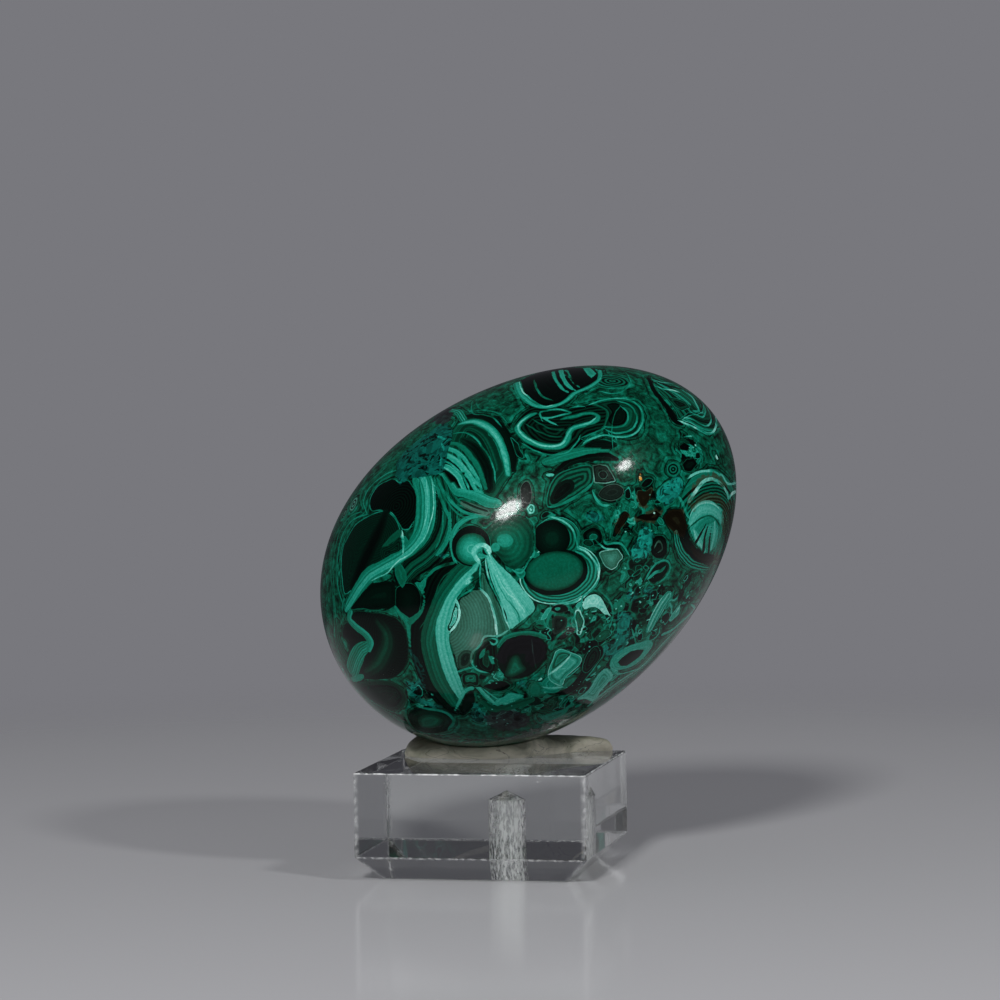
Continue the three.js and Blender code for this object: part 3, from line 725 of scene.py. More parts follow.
        dict(centre=(707, 549), even=0.5, contrast=0.26, pitch=0.55)),
    "rosette fan": (lobe, [(689, 521), (694, 511), (703, 505), (714, 504), (722, 509), (724, 521),
        (721, 536), (714, 548), (706, 553), (699, 545), (692, 535)], 3, 0.56, 0.56, dict(centre=(707, 549),
        contrast=0.16, pitch=0.6)),
    "pale bands of the fan": (ribbon, [(691, 523), (696, 513), (704, 508), (713, 509), (719, 514),
        (721, 522)], 4, 0.72, 0.6, [0.7, 1.1, 1.3, 1.2, 0.9, 0.5], dict(contrast=0.14, pitch=0.5)),
    "pale ray 1": (ribbon, [(694, 531), (698, 540), (705, 551)], 4, 0.76, 0.6, [0.3, 0.7, 0.4]),
    "pale ray 2": (ribbon, [(715, 522), (714, 535), (711, 549)], 4, 0.76, 0.6, [0.3, 0.5, 0.4]),
    "dark line over it": (line, [(690, 527), (698, 520), (707, 516), (714, 518), (720, 527)], 0.15, 0.24),
    "dark wedge 1": (ribbon, [(706, 524), (701, 533), (696, 542)], 5, 0.04, 0.05, [0.08, 0.25, 0.35]),
    "dark wedge 2": (ribbon, [(709, 523), (705, 537), (703, 551)], 5, 0.04, 0.05, [0.08, 0.3, 0.4]),
    "dark wedge 3": (ribbon, [(712, 525), (710, 539), (709, 553)], 5, 0.04, 0.05, [0.08, 0.25, 0.35]),
    "rosette side": (ribbon, [(718, 520), (719, 535), (715, 550)], 5, 0.36, 0.4, [0.2, 0.35, 0.3],
        dict(contrast=0.3)),
    "brown nodule": (lobe, [(663, 516), (668, 510), (676, 508), (682, 511), (686, 519), (688, 528),
        (687, 538), (682, 540), (676, 534), (670, 528), (664, 523)], 4, 0.08, 0.1, dict(contrast=0.08,
        pitch=0.6)),
    "black arc": (ribbon, [(680, 530), (685, 541), (692, 550), (701, 557), (712, 559)], 4, 0.03, 0.05, [0.7,
        0.9, 1.0, 1.0, 0.7], dict(contrast=0.08)),
    "green arc": (ribbon, [(676, 532), (678, 545), (684, 556), (693, 564), (708, 568)], 5, 0.36, 0.5, [0.4,
        0.7, 0.8, 0.7, 0.4], dict(even=1, contrast=0.18, pitch=0.5)),
    "brown of the nodule": (stain, [(665, 515), (676, 509), (683, 512), (687, 527), (684, 538), (676, 533),
        (667, 524)], "brown"),
    "brown of the bands 1": (stain, [(686, 500), (692, 484), (700, 475), (713, 472), (723, 477), (729, 490),
        (726, 492), (716, 482), (706, 482), (697, 492), (690, 503)], "brown", 0.7),
    "brown of the bands 2": (stain, [(690, 508), (698, 498), (708, 493), (718, 495), (725, 503), (722, 507),
        (713, 502), (703, 503), (694, 511)], "brown"),
    "brown under the fan": (stain, [(690, 545), (704, 555), (718, 554), (720, 562), (708, 564), (696, 558)],
        "brown"),
    "brown at the edge": (stain, [(722, 512), (729, 500), (736, 502), (733, 525), (726, 545), (722, 530)],
        "brown", 0.8),
    # Between them: the leaf, the framed ring, the purple lens and small nodules
    "ringed leaf": (lobe, [(548, 507), (547, 494), (552, 481), (561, 472), (575, 467), (590, 465),
        (594, 473), (592, 484), (583, 492), (572, 499), (560, 505)], 2, 0.23, 0.44, dict(even=0.8,
        contrast=0.12, pitch=0.8, rim_width=0.2)),
    "its black core": (lobe, [(550, 500), (552, 492), (557, 485), (564, 480), (570, 479), (574, 483),
        (573, 490), (566, 497), (558, 502), (552, 504)], 4, 0.05, 0.03, dict(core=0.01)),
    "its lower edge": (line, [(549, 507), (561, 504), (573, 498), (584, 491), (593, 483)], 0.26, 0.48),
    # Partly painted reflection: the frame and its ring are greyed for the second highlight's reflection that
    # spreads over them.
    "frame": (lobe, [(592, 465), (600, 464), (607, 465), (612, 472), (616, 481), (606, 484), (594, 483)], 3,
        0.1, 0.62, dict(grey=0.5, sharp=True, rim_width=0.2)),
    "ring in the frame": (nodule, (603, 475), 4, 0.1, 0.42, (0.8, 0.8), dict(grey=0.5)),
    "purple lens": (lobe, [(598, 496), (601, 490), (608, 485), (616, 484), (623, 487), (624, 492),
        (620, 498), (612, 501), (604, 500)], 4, 0.1, 0.4, dict(grey=0.7, contrast=0.1)),
    "line under the lens": (line, [(593, 492), (597, 500), (603, 505), (609, 505.5)], 0.22, 0.64),
    "small black corner": (lobe, [(541, 519), (542, 514), (546, 511), (550, 513), (547, 517)], 4, 0.03,
        0.44),
    "pale corner by it": (lobe, [(548, 517), (551, 512), (556, 515), (552, 519)], 4, 0.46, 0.5,
        dict(sharp=True)),
    "arch": (lobe, [(582, 536), (586, 530), (593, 527), (600, 530), (603, 537), (600, 544), (588, 545)], 3,
        0.08, 0.5),
    "arch nodule 1": (nodule, (593, 537), 5, 0.3, 0.62, (0.7, 0.5), {}),
    "arch nodule 2": (nodule, (589, 543), 5, 0.12, 0.78, (1.0, 0.6), dict(turn=-15)),
    "arch line": (line, [(596, 541), (601, 545), (607, 549), (616, 549)], 0.14, 0.7),
    "outer arch line": (line, [(603, 540), (606, 544), (614, 543), (621, 544), (626, 549), (629, 556)],
        0.16, 0.56),
    "dark under the arch": (lobe, [(602, 545), (610, 544), (618, 546), (614, 549), (605, 548)], 4, 0.03,
        0.05),
    "heart": (lobe, [(599, 553), (604, 550), (611, 550), (617, 549), (621, 554), (623, 558), (619, 562),
        (616, 567), (611, 570), (606, 567), (602, 561)], 5, 0.26, 0.82, dict(core=0.56, core_depth=1.5,
        contrast=0.1, grey=0.3, rim_width=0.14)),
    "brown leaf": (lobe, [(621, 513), (626, 511), (630, 515), (626, 523), (620, 531), (615, 538),
        (612, 536), (614, 527), (618, 519)], 4, 0.09, 0.44, dict(contrast=0.08)),
    "brown of the leaf": (stain, [(620, 514), (627, 511), (628, 520), (618, 534), (613, 534), (616, 522)],
        "brown", 0.8),
    "line of the leaf": (line, [(618, 508), (612, 522), (610, 538)], 0.14, 0.46),
    "black lobe with a ring": (lobe, [(652, 541), (656, 536), (663, 536), (667, 542), (667, 551),
        (663, 557), (656, 558), (651, 551)], 4, 0.04, 0.1, dict(grey=0.5)),
    "ring in it": (line, [(655, 547), (658, 541), (662, 544), (662, 550), (658, 553)], 0.12, 0.42),
    "long loop": (line, [(645, 580), (650, 571), (656, 564), (664, 560), (669, 563), (670, 570), (665, 578),
        (657, 584)], 0.17, 0.6),
    "ridge in the loop": (line, [(648, 579), (655, 573), (661, 571), (665, 567)], 0.28, 0.66),
    "dark of the loop end": (lobe, [(648, 577), (656, 566), (665, 562), (668, 570), (660, 580), (652, 583)],
        3, 0.04, 0.2),
    "top dark nodule": (lobe, [(641, 486), (643, 481), (648, 478), (653, 480), (650, 485), (645, 488)], 5,
        0.03, 0.44),
    "rust nodule": (lobe, [(637, 492), (641, 490), (646, 491), (652, 487), (651, 495), (649, 501),
        (645, 507), (641, 506), (638, 500)], 4, 0.12, 0.4, dict(contrast=0.1)),
    "rust": (stain, [(637, 491), (645, 490), (652, 486), (651, 497), (645, 508), (639, 504)], "brown"),
    "rust outline": (line, [(634, 491), (635, 500), (639, 507), (645, 511), (651, 507)], 0.2, 0.5),
    "amber fleck": (nodule, (640, 478), 6, 0.9, 0.9, (0.22, 0.65), {}),
    "amber": (stain, [(639.2, 474), (641.2, 474), (641.6, 480.5), (639.4, 481)], "amber"),
    "dark shreds": (lobe, [(634, 518), (641, 514), (650, 514), (656, 510), (661, 514), (657, 521),
        (646, 521)], 4, 0.05, 0.3, dict(sharp=True, contrast=0.2)),
    "brown of the shreds": (stain, [(634, 519), (645, 513), (658, 508), (662, 516), (650, 523)], "brown",
        0.9),
    "white fleck 2": (nodule, (654.5, 513), 6, 0.95, 0.95, (0.18, 0.4), {}),
    "pale dots": (nodule, (550, 475), 6, 0.7, 0.7, (0.8, 0.3), {}),
    # Blue-green fillings
    "large filling": (stain, [(396, 465), (397, 479), (401, 483), (412, 478), (422, 478), (434, 476),
        (442, 473), (446, 462), (448, 450), (453, 440), (452, 428), (445, 423), (434, 429), (422, 437),
        (411, 446), (402, 455)], "teal"),
    "dark under the filling": (lobe, [(396, 465), (398, 479), (412, 478), (436, 475), (444, 466),
        (448, 450), (453, 432), (444, 424), (422, 438), (405, 452)], 6, 0.2, 0.2, dict(contrast=0.02,
        halo=False)),
    "black spot in it": (line, [(421, 466), (425, 468), (428, 470)], 0.5, 0.0),
    "dark heart of it": (line, [(418, 450), (424, 455), (430, 460)], 0.45, 0.1),
    "bright grain 1": (line, [(437, 436), (442, 438), (447, 440)], 0.22, 0.7),
    "bright grain 2": (line, [(442, 444), (444, 449)], 0.25, 0.7),
    "bright grain 3": (line, [(441, 458), (440, 466)], 0.2, 0.6),
    "bright filling": (stain, [(679, 477), (683, 484), (680, 493), (674, 501), (666, 505), (660, 502),
        (656, 495), (661, 487), (668, 481)], "teal"),
    "ground of it": (lobe, [(679, 477), (683, 484), (678, 496), (668, 504), (659, 501), (656, 494),
        (664, 483)], 4, 0.5, 0.4, dict(contrast=0.1)),
    "tall filling": (stain, [(640, 527), (648, 527), (653, 534), (651, 545), (649, 556), (643, 561),
        (634, 560), (630, 552), (633, 543), (639, 537)], "teal"),
    "ground of the tall one": (lobe, [(641, 528), (649, 528), (652, 536), (649, 555), (638, 560),
        (631, 552), (637, 540)], 5, 0.5, 0.4, dict(contrast=0.1)),
    "small filling": (stain, [(584, 518), (588, 512), (594, 508), (598, 514), (603, 517), (601, 521),
        (592, 521)], "teal"),
    "holes in it": (nodule, (593, 516), 5, 0.02, 0.05, (0.5, 0.3), dict(turn=-20)),
    "lower filling": (stain, [(616, 616), (623, 612), (631, 615), (631, 628), (629, 641), (622, 651),
        (612, 658), (604, 656), (604, 644), (614, 640), (617, 630)], "teal"),
    "hole in the lower one": (nodule, (613, 642), 6, 0.03, 0.3, (0.8, 0.7), {}),
    "ground of the lower one": (lobe, [(617, 616), (624, 613), (631, 617), (630, 630), (627, 643),
        (618, 652), (607, 655), (606, 646), (616, 640)], 5, 0.46, 0.4, dict(contrast=0.2, pitch=0.3)),
    "filling seam": (stain, [(409, 650), (414, 653), (419, 661), (423, 672), (425, 681), (420, 682),
        (418, 672), (413, 661)], "teal"),
    "filling under the seam": (stain, [(406, 682), (415, 681), (424, 682), (425, 690), (418, 688),
        (415, 693), (424, 699), (434, 703), (442, 708), (430, 707), (418, 702), (410, 695)], "teal"),
    "filling at the foot": (stain, [(473, 703), (477, 703), (480, 710), (488, 717), (484, 723), (475, 721),
        (467, 715), (472, 710)], "teal"),
    "filling at the end": (stain, [(625, 591), (632, 590), (638, 593), (637, 599), (629, 600)], "teal"),
    "filling beside it": (stain, [(643, 590), (650, 588), (654, 592), (648, 597)], "teal"),
    "filling spot": (stain, [(441, 558), (442, 554), (446, 554), (445, 559)], "teal"),
    "filling chip": (stain, [(517, 684), (522, 682), (529, 687), (524, 689)], "teal"),
    # Lower right and foot: broken stone, with its larger fragments
    "bright crescent": (lobe, [(585, 610), (583, 604), (587, 597), (593, 594), (600, 596), (604, 602),
        (608, 611), (611, 616), (604, 614), (597, 607), (590, 607)], 6, 0.78, 0.92, dict(contrast=0.24,
        pitch=0.3)),
    "line over it": (line, [(582, 611), (581, 603), (584, 595), (591, 591), (600, 592), (608, 600),
        (613, 609), (612, 620), (609, 629)], 0.15, 0.54),
    "teardrop": (lobe, [(576, 610), (580, 609), (582, 615), (585, 621), (583, 628), (580, 635), (577, 634),
        (576, 626), (574, 618)], 6, 0.3, 0.88, dict(contrast=0.3, rim_width=0.25)),
    "chip over it": (lobe, [(575, 606), (578, 602), (582, 600), (582, 606), (577, 609)], 6, 0.64, 0.7,
        dict(sharp=True)),
    "great shard": (lobe, [(548, 676), (549, 668), (552, 661), (556, 651), (563, 649), (571, 652),
        (581, 657), (580, 664), (573, 671), (566, 677), (561, 686), (551, 681)], 5, 0.56, 0.84,
        dict(contrast=0.2, pitch=0.35, rim_width=0.15)),
    "its dark half": (lobe, [(552, 666), (557, 655), (565, 652), (571, 655), (563, 662), (553, 670)], 6,
        0.34, 0.34, dict(contrast=0.2, pitch=0.3)),
    "its bright line": (line, [(548, 675), (556, 670), (564, 663), (571, 655)], 0.2, 0.9),
    "black round the shard": (lobe, [(545, 690), (562, 690), (575, 680), (582, 668), (584, 655), (600, 645),
        (604, 655), (596, 668), (585, 682), (566, 695)], 2, 0.04, 0.3, dict(contrast=0.1)),
    "line round the shard": (line, [(562, 687), (561, 680), (568, 677), (574, 672), (579, 668)], 0.13,
        0.62),
    "ringed lobe": (lobe, [(582, 670), (585, 658), (590, 650), (596, 646), (601, 650), (600, 658),
        (594, 666), (587, 673)], 4, 0.06, 0.5, dict(even=1, contrast=0.08, pitch=0.6)),
    "ringed lobe's line": (line, [(583, 682), (590, 674), (597, 664), (603, 655), (605, 646)], 0.14, 0.56),
    "long shard": (ribbon, [(650, 628), (655, 617), (661, 606), (668, 596)], 5, 0.6, 0.6, [0.9, 1.2, 1.3,
        1.0], dict(contrast=0.3, pitch=0.28)),
    "its head": (lobe, [(657, 594), (664, 596), (672, 592), (673, 598), (666, 602), (660, 600)], 4, 0.46,
        0.5, dict(sharp=True)),
    "white-tipped shard": (lobe, [(668, 621), (672, 614), (678, 606), (681, 608), (678, 615), (671, 622)],
        5, 0.64, 0.6, dict(sharp=True)),
    "its white tip": (line, [(680, 606), (676, 612)], 0.25, 0.98),
    "curled band": (ribbon, [(663, 634), (672, 630), (680, 623), (688, 616), (694, 609), (692, 604)], 5,
        0.6, 0.6, [0.35, 0.4, 0.4, 0.35, 0.35, 0.2]),
    "oval's green": (lobe, [(610, 664), (612, 657), (619, 651), (629, 646), (640, 642), (650, 640),
        (653, 645), (646, 655), (636, 664), (626, 669), (615, 670)], 3, 0.54, 0.56, dict(contrast=0.14)),
    "dark oval": (lobe, [(618, 662), (624, 656), (631, 651), (638, 649), (645, 649), (640, 656), (634, 661),
        (627, 666), (621, 666)], 5, 0.02, 0.3, dict(sharp=True)),
    "line round the oval": (line, [(610, 663), (612, 670), (618, 674), (629, 672), (641, 667), (652, 658)],
        0.15, 0.64),
    "twin loops": (line, [(632, 628), (634, 637), (637, 644), (642, 645), (648, 642), (655, 638),
        (659, 633), (660, 626)], 0.15, 0.6),
    "black in the loops": (lobe, [(637, 640), (638, 635), (642, 633), (643, 637), (641, 641)], 5, 0.02,
        0.6),
    "pale mass": (lobe, [(577, 699), (588, 690), (594, 680), (600, 672), (607, 668), (613, 676), (607, 684),
        (600, 692), (594, 702), (586, 699)], 3, 0.56, 0.56, dict(contrast=0.3, pitch=0.3)),
    "edge bands": (ribbon, [(590, 705), (606, 692), (624, 679), (642, 667), (660, 648), (674, 632)], 4,
        0.38, 0.44, [0.6, 0.9, 0.9, 0.9, 0.9, 0.5], dict(contrast=0.4, pitch=0.4, grey=0.15)),
    "pale foot 1": (lobe, [(540, 717), (552, 713), (568, 708), (562, 716), (548, 721)], 4, 0.5, 0.5,
        dict(contrast=0.2)),
    "pale foot 2": (nodule, (578, 706), 5, 0.44, 0.5, (0.7, 0.5), {}),
    "pale bar": (line, [(543, 687), (552, 688), (563, 687)], 0.2, 0.74),
    "green over the bar": (lobe, [(541, 684), (547, 677), (556, 674), (562, 684), (558, 692), (545, 692)],
        4, 0.48, 0.5, dict(contrast=0.2)),
    "purple round nodule": (lobe, [(497, 658), (500, 648), (507, 640), (518, 636), (532, 636), (543, 640),
        (547, 650), (543, 662), (536, 671), (525, 677), (511, 678), (501, 671)], 4, 0.06, 0.1,
        dict(contrast=0.06)),
    "green in it": (lobe, [(504, 676), (506, 667), (511, 656), (519, 655), (523, 663), (527, 669),
        (520, 675), (511, 678)], 6, 0.08, 0.08, dict(core=0.34, core_depth=1.2, contrast=0.06, halo=False)),
    "purple of the nodule": (stain, [(498, 656), (503, 644), (515, 637), (531, 636), (543, 640), (546, 650),
        (539, 662), (530, 664), (522, 654), (511, 654), (503, 666)], "purple"),
    "band over it": (ribbon, [(499, 646), (506, 638), (517, 634), (531, 633), (545, 637)], 3, 0.4, 0.5,
        [0.3, 0.35, 0.4, 0.4, 0.4]),
    "crack in the nodule": (line, [(531, 640), (533, 650), (534, 661), (536, 668)], 0.1, 0.34),
    "winding line": (line, [(535, 626), (541, 628), (546, 625), (549, 617), (551, 612), (557, 615),
        (565, 615), (569, 620), (568, 627), (562, 633), (556, 638), (552, 648)], 0.22, 0.46),
    "purple patch": (lobe, [(553, 618), (560, 616), (567, 619), (566, 627), (559, 633), (553, 634)], 3,
        0.12, 0.2, dict(grey=0.7)),
    "dark round the spot": (lobe, [(551, 609), (557, 604), (566, 605), (568, 611), (560, 613), (553, 612)],
        3, 0.05, 0.3, dict(grey=0.5)),
    "pale spot": (nodule, (558, 609), 5, 0.56, 0.6, (0.5, 0.25), {}),
    "pale triangle": (lobe, [(540, 620), (545, 611), (552, 604), (550, 612), (546, 619)], 5, 0.62, 0.7,
        dict(sharp=True)),
    "rim under the oval": (line, [(552, 605), (562, 603), (573, 602), (581, 596)], 0.2, 0.64),
    "green leaf": (lobe, [(595, 639), (600, 633), (606, 629), (611, 631), (607, 638), (601, 642)], 4, 0.3,
        0.4),
    "green bead": (lobe, [(618, 601), (622, 598), (625, 603), (623, 610), (618, 609)], 4, 0.38, 0.44),
    "net line 1": (line, [(508, 630), (503, 634), (497, 636), (490, 636), (484, 637), (480, 645),
        (473, 652), (471, 660), (474, 667), (480, 671), (488, 673)], 0.16, 0.64),
    "net line 2": (line, [(491, 639), (497, 639), (497, 643), (493, 645), (490, 642)], 0.14, 0.64),
    "net chip 1": (lobe, [(479, 656), (482, 650), (486, 648), (484, 656), (480, 660)], 4, 0.5, 0.5,
        dict(sharp=True)),
    "net chip 2": (lobe, [(488, 655), (493, 656), (496, 668), (491, 664)], 4, 0.46, 0.5, dict(sharp=True)),
    "net ground": (lobe, [(474, 653), (482, 642), (490, 638), (498, 640), (498, 670), (486, 676),
        (474, 668)], 2, 0.1, 0.3, dict(contrast=0.35, pitch=0.3)),
    "pale line to the ribbon": (line, [(457, 672), (463, 670), (468, 668), (474, 667)], 0.2, 0.7),
    "green under it": (lobe, [(462, 676), (468, 672), (478, 674), (478, 686), (470, 684), (464, 686)], 3,
        0.28, 0.4, dict(contrast=0.3)),
    "chevron": (ribbon, [(479, 688), (485, 695), (491, 701), (497, 705)], 5, 0.6, 0.6, [0.3, 0.35, 0.35,
        0.3]),
    "chevron line": (line, [(481, 687), (488, 692), (495, 698), (500, 700)], 0.12, 0.64),
    "chevron's other arm": (lobe, [(497, 706), (497, 699), (503, 697), (509, 693), (515, 693), (523, 696),
        (516, 699), (507, 702)], 5, 0.54, 0.6, dict(core=0.64)),
    "green under the chevron": (ribbon, [(482, 701), (491, 708), (502, 709), (515, 705), (530, 700)], 3,
        0.26, 0.3, [0.4, 0.7, 0.8, 0.9, 0.8]),
    "black under the hook": (lobe, [(466, 696), (472, 691), (475, 700), (471, 709), (463, 716), (459, 710)],
        3, 0.02, 0.1),
    "black lens": (lobe, [(483, 687), (489, 683), (498, 681), (506, 681), (511, 686), (504, 691),
        (494, 691)], 4, 0.03, 0.4),
    "green bead by it": (lobe, [(528, 690), (530, 684), (537, 682), (542, 686), (541, 694), (534, 697),
        (528, 694)], 4, 0.32, 0.4, dict(core=0.42)),
    "foot lens": (lobe, [(408, 716), (415, 709), (428, 708), (441, 711), (452, 718), (453, 724), (446, 731),
        (430, 733), (415, 729)], 3, 0.08, 0.2, dict(core=0.26, core_depth=2.4)),
    "foot lens line": (line, [(422, 708), (436, 710), (446, 713), (453, 719), (453, 724), (448, 729)], 0.3,
        0.5),
    # Painted reflection: a purple-grey tint over the egg's foot stands for what its polish mirrors there.
    "floor reflection at the foot": (stain, [(486, 718), (500, 711), (520, 712), (530, 722), (514, 730), (494, 728)],
        "purple"),
    "top purple": (stain, [(432, 421), (440, 412), (450, 408), (452, 418), (442, 424)], "purple"),
}
for draw, *arguments in FRONT_PATTERN.values():
    style = arguments.pop() if isinstance(arguments[-1], dict) else {}
    draw(*arguments, **style)


def chip(layer, centre, width, chance):
    """A broken fragment with a chance outline of five or six corners, dark or pale."""
    size = (width, width * chance.uniform(0.4, 0.8))
    corners = oval_corners(centre, size, chance.uniform(0, 180), int(chance.integers(5, 7)), chance)
    tone = chance.uniform(0.01, 0.12) if chance.random() < 0.55 else chance.uniform(0.26, 0.6)
    rim = tone if chance.random() < 0.4 else chance.uniform(0.35, 0.75)
    lobe(corners, layer, tone, rim, sharp=True, contrast=0.5 * tone, pitch=0.35,
         rim_width=chance.uniform(0.08, 0.18))


# Zones of broken ground: the middle of each in pixels of the view, its half width in
# millimetres, and how many fragments it holds
BROKEN_GROUND = {
    "foot": ((560, 694), 7.0, 18),
    "right of the foot": ((600, 680), 5.0, 10),
    "right side": ((640, 620), 8.0, 34),
    "under the crescent": ((590, 635), 5.0, 16),
    "round the winding line": ((560, 622), 4.0, 8),
    "net": ((485, 672), 3.5, 8),
    "under the chevron": ((500, 712), 5.0, 12),
    "dark pockets": ((690, 450), 3.2, 6),
    "dark shreds": ((640, 512), 5.0, 9),
    "right edge": ((690, 590), 4.0, 8),
    "left of the foot": ((420, 698), 3.0, 4),
    "under the long loop": ((640, 575), 4.0, 8),
}
chance = np.random.default_rng(5)
for zone, width, fragments in BROKEN_GROUND.values():
    stain(oval_corners(zone, (width, 0.8 * width)), "broken")
    middle = on_front(zone)[0]
    near_zone = np.nonzero(((egg_points - middle) ** 2).sum(axis=1) < (0.9 * width) ** 2)[0]
    for _ in range(fragments):
        layer = 1 + int(chance.integers(0, 2))
        chip(layer, egg_points[chance.choice(near_zone)], chance.uniform(0.4, 1.4), chance)
    for _ in range(fragments):
        size = chance.uniform(0.1, 0.3) * np.array([1.0, 0.6])
        spot = egg_points[chance.choice(near_zone)]
        nodule(spot, 6, chance.uniform(0.5, 0.95), 0.7, size, chance.uniform(0, 180), contrast=0, halo=False)

# The sides and the back, which carry the same kinds of growth in a chance layout. A shape
# is left out where it would reach round to the front.
BACK_EYES = 340
BACK_RIBBONS = 60
BACK_CHIPS = 260
RIBBON_SPACING = 9.0  # millimetres kept between the ribbons' paths
RIBBON_STEP = 2.6  # millimetres between the points of a ribbon's path
BACK_PATCHES = [  # the kind, how many, and the least and greatest half width in millimetres
    ("broken", 9, 5, 9), ("teal", 7, 1, 3), ("brown", 4, 1.5, 3.5), ("purple", 3, 2, 4)]
chance = np.random.default_rng(8)
hidden = np.nonzero(facing < -0.02)[0]
behind_edge = -facing * EGG_DIAMETER / 2
laid = np.full((1, 3), 1e3)  # points of the ribbons laid so far, the first one far away
for _ in range(BACK_RIBBONS):
    start = chance.choice(hidden)
    spot = egg_points[start]
    _, across, upward = touching_axes(spot)
    heading = chance.uniform(0, 2 * math.pi)
    path = [spot]
    depths = [behind_edge[start]]
    for _ in range(int(chance.integers(5, 14))):
        heading += chance.uniform(-0.35, 0.5)
        spot = spot + RIBBON_STEP * (math.cos(heading) * across + math.sin(heading) * upward)
        nearest = np.argmin(((egg_points - spot) ** 2).sum(axis=1))
        spot = egg_points[nearest]
        path.append(spot)
        depths.append(behind_edge[nearest])
    width = chance.uniform(0.8, 2.0)
    tone = chance.uniform(0.42, 0.6)
    gaps = np.linalg.norm(np.array(path)[:, None] - laid[None], axis=2)
    if min(depths) > 2.5 and gaps.min() > RIBBON_SPACING:
        laid = np.concatenate([laid, path])
        widths = width * np.clip(1.7 * np.sin(np.linspace(0.25, math.pi - 0.25, len(path))), 0, 1)
        ribbon(path, 1, 0.06, 0.2, 2.2 * widths + 0.6, contrast=0.14, pitch=0.4)
        ribbon(path, 3, 0.28, 0.26, 1.6 * widths, contrast=0.14, pitch=0.35)
        ribbon(path, 5, tone, 0.5, widths, core=tone + 0.12, core_depth=width, contrast=0.16, pitch=0.3)
for _ in range(BACK_EYES):
    start = chance.choice(hidden)
    spot = egg_points[start]
    width = 0.6 + 5.4 * chance.random() ** 2.6
    size = np.array([width, width * chance.uniform(0.6, 1.0)])
    turn = chance.uniform(0, 180)
    dark = chance.random() < 0.55
    shift = chance.normal(size=3) * 0.12 * width
    layer = 1 + int(chance.integers(0, 2))
    halo, tone, core = chance.uniform(0.1, 0.35), chance.uniform(0.02, 0.2), chance.uniform(0.03, 0.5)
    rims = chance.uniform(0.2, 0.75, 2)
    even = float(chance.random() < 0.5)
    if behind_edge[start] > 1.4 * width:
        corners = oval_corners(spot, size, turn, 8, chance, 0.16)
        lobe(spot + 1.3 * (corners - spot) + shift, layer, halo, rims[0], contrast=0.16, pitch=0.45,
             even=even)
        lobe(corners, layer + 2, 0.5 * tone if dark else 0.2, rims[1], core=0.3 * core if dark else core,
             core_depth=width * 0.6, contrast=0.05, pitch=0.6, even=even)
for _ in range(BACK_CHIPS):
    start = chance.choice(hidden)
    if behind_edge[start] > 2:
        chip(2, egg_points[start], chance.uniform(0.5, 1.8), chance)
for kind, count, least, most in BACK_PATCHES:
    for _ in range(count):
        width = chance.uniform(least, most)
        size = (width, width * chance.uniform(0.6, 1))
        stain(oval_corners(egg_points[chance.choice(hidden)], size, chance.uniform(0, 180)), kind)


def srgb(code):
    """Linear red, green, blue and alpha of an sRGB hex colour such as '0a5a4a'."""
    values = [int(code[i:i + 2], 16) / 255 for i in (0, 2, 4)]
    linear = [v / 12.92 if v <= 0.04045 else ((v + 0.055) / 1.055) ** 2.4 for v in values]
    return (*linear, 1.0)


def add(tree, kind, *inputs, out=0, **settings):
    """Adds a shader node with its settings and hands back one of its outputs. Its inputs are set
    or linked: either the first ones in their order, or some of them in a dictionary. The order
    of a MapRange is value, from min, from max, to min, to max."""
    item = tree.nodes.new("ShaderNode" + kind)
    for key, value in settings.items():
        setattr(item, key, value)
    named = inputs[0] if inputs and isinstance(inputs[0], dict) else dict(enumerate(inputs))
    for key, value in named.items():
        socket = item.inputs[key]
        if isinstance(value, bpy.types.NodeSocket):
            tree.links.new(value, socket)
        else:
            socket.default_value = value
    return item.outputs[out]


def new_material(name):
    """An empty node material with its shader and output, and the tree to build in."""
    material = bpy.data.materials.new(name)
    material.use_nodes = True
    tree = material.node_tree
    return material, tree, tree.nodes["Principled BSDF"]


# One layer of shapes over what lies under it: crisp growth bands of uneven lightness, a
# rim line inside the edge, and outside the edge whatever was there before
layer_group = bpy.data.node_groups.new("growth_layer", "ShaderNodeTree")
for name in ("Under", "Under grey", "Distance", "Bands", "Tone", "Contrast", "Rim", "Rim width", "Grey",
             "Even", "Wobble", "Fade"):
    layer_group.interface.new_socket(name, in_out="INPUT", socket_type="NodeSocketFloat")
for name in ("Tone", "Grey"):
    layer_group.interface.new_socket(name, in_out="OUTPUT", socket_type="NodeSocketFloat")
given = layer_group.nodes.new("NodeGroupInput").outputs
EDGE_BLUR = 0.05  # millimetres on each side of an edge
BAND_SIZES = ((1.0, 0.65), (3.3, 0.35))  # how fine, and its share in the lightness
BAND_FLAT = 0.75  # share of a band over which its lightness stays the same
EVEN_FULL = 0.6  # height of a sine wave past which an even band has its full lightness
edge = add(layer_group, "Math", given["Distance"], given["Wobble"], operation="ADD")
inside = add(layer_group, "MapRange", edge, EDGE_BLUR, -EDGE_BLUR, interpolation_type="SMOOTHSTEP")
count = add(layer_group, "Math", given["Wobble"], 2.0, given["Bands"], operation="MULTIPLY_ADD")
growth = None
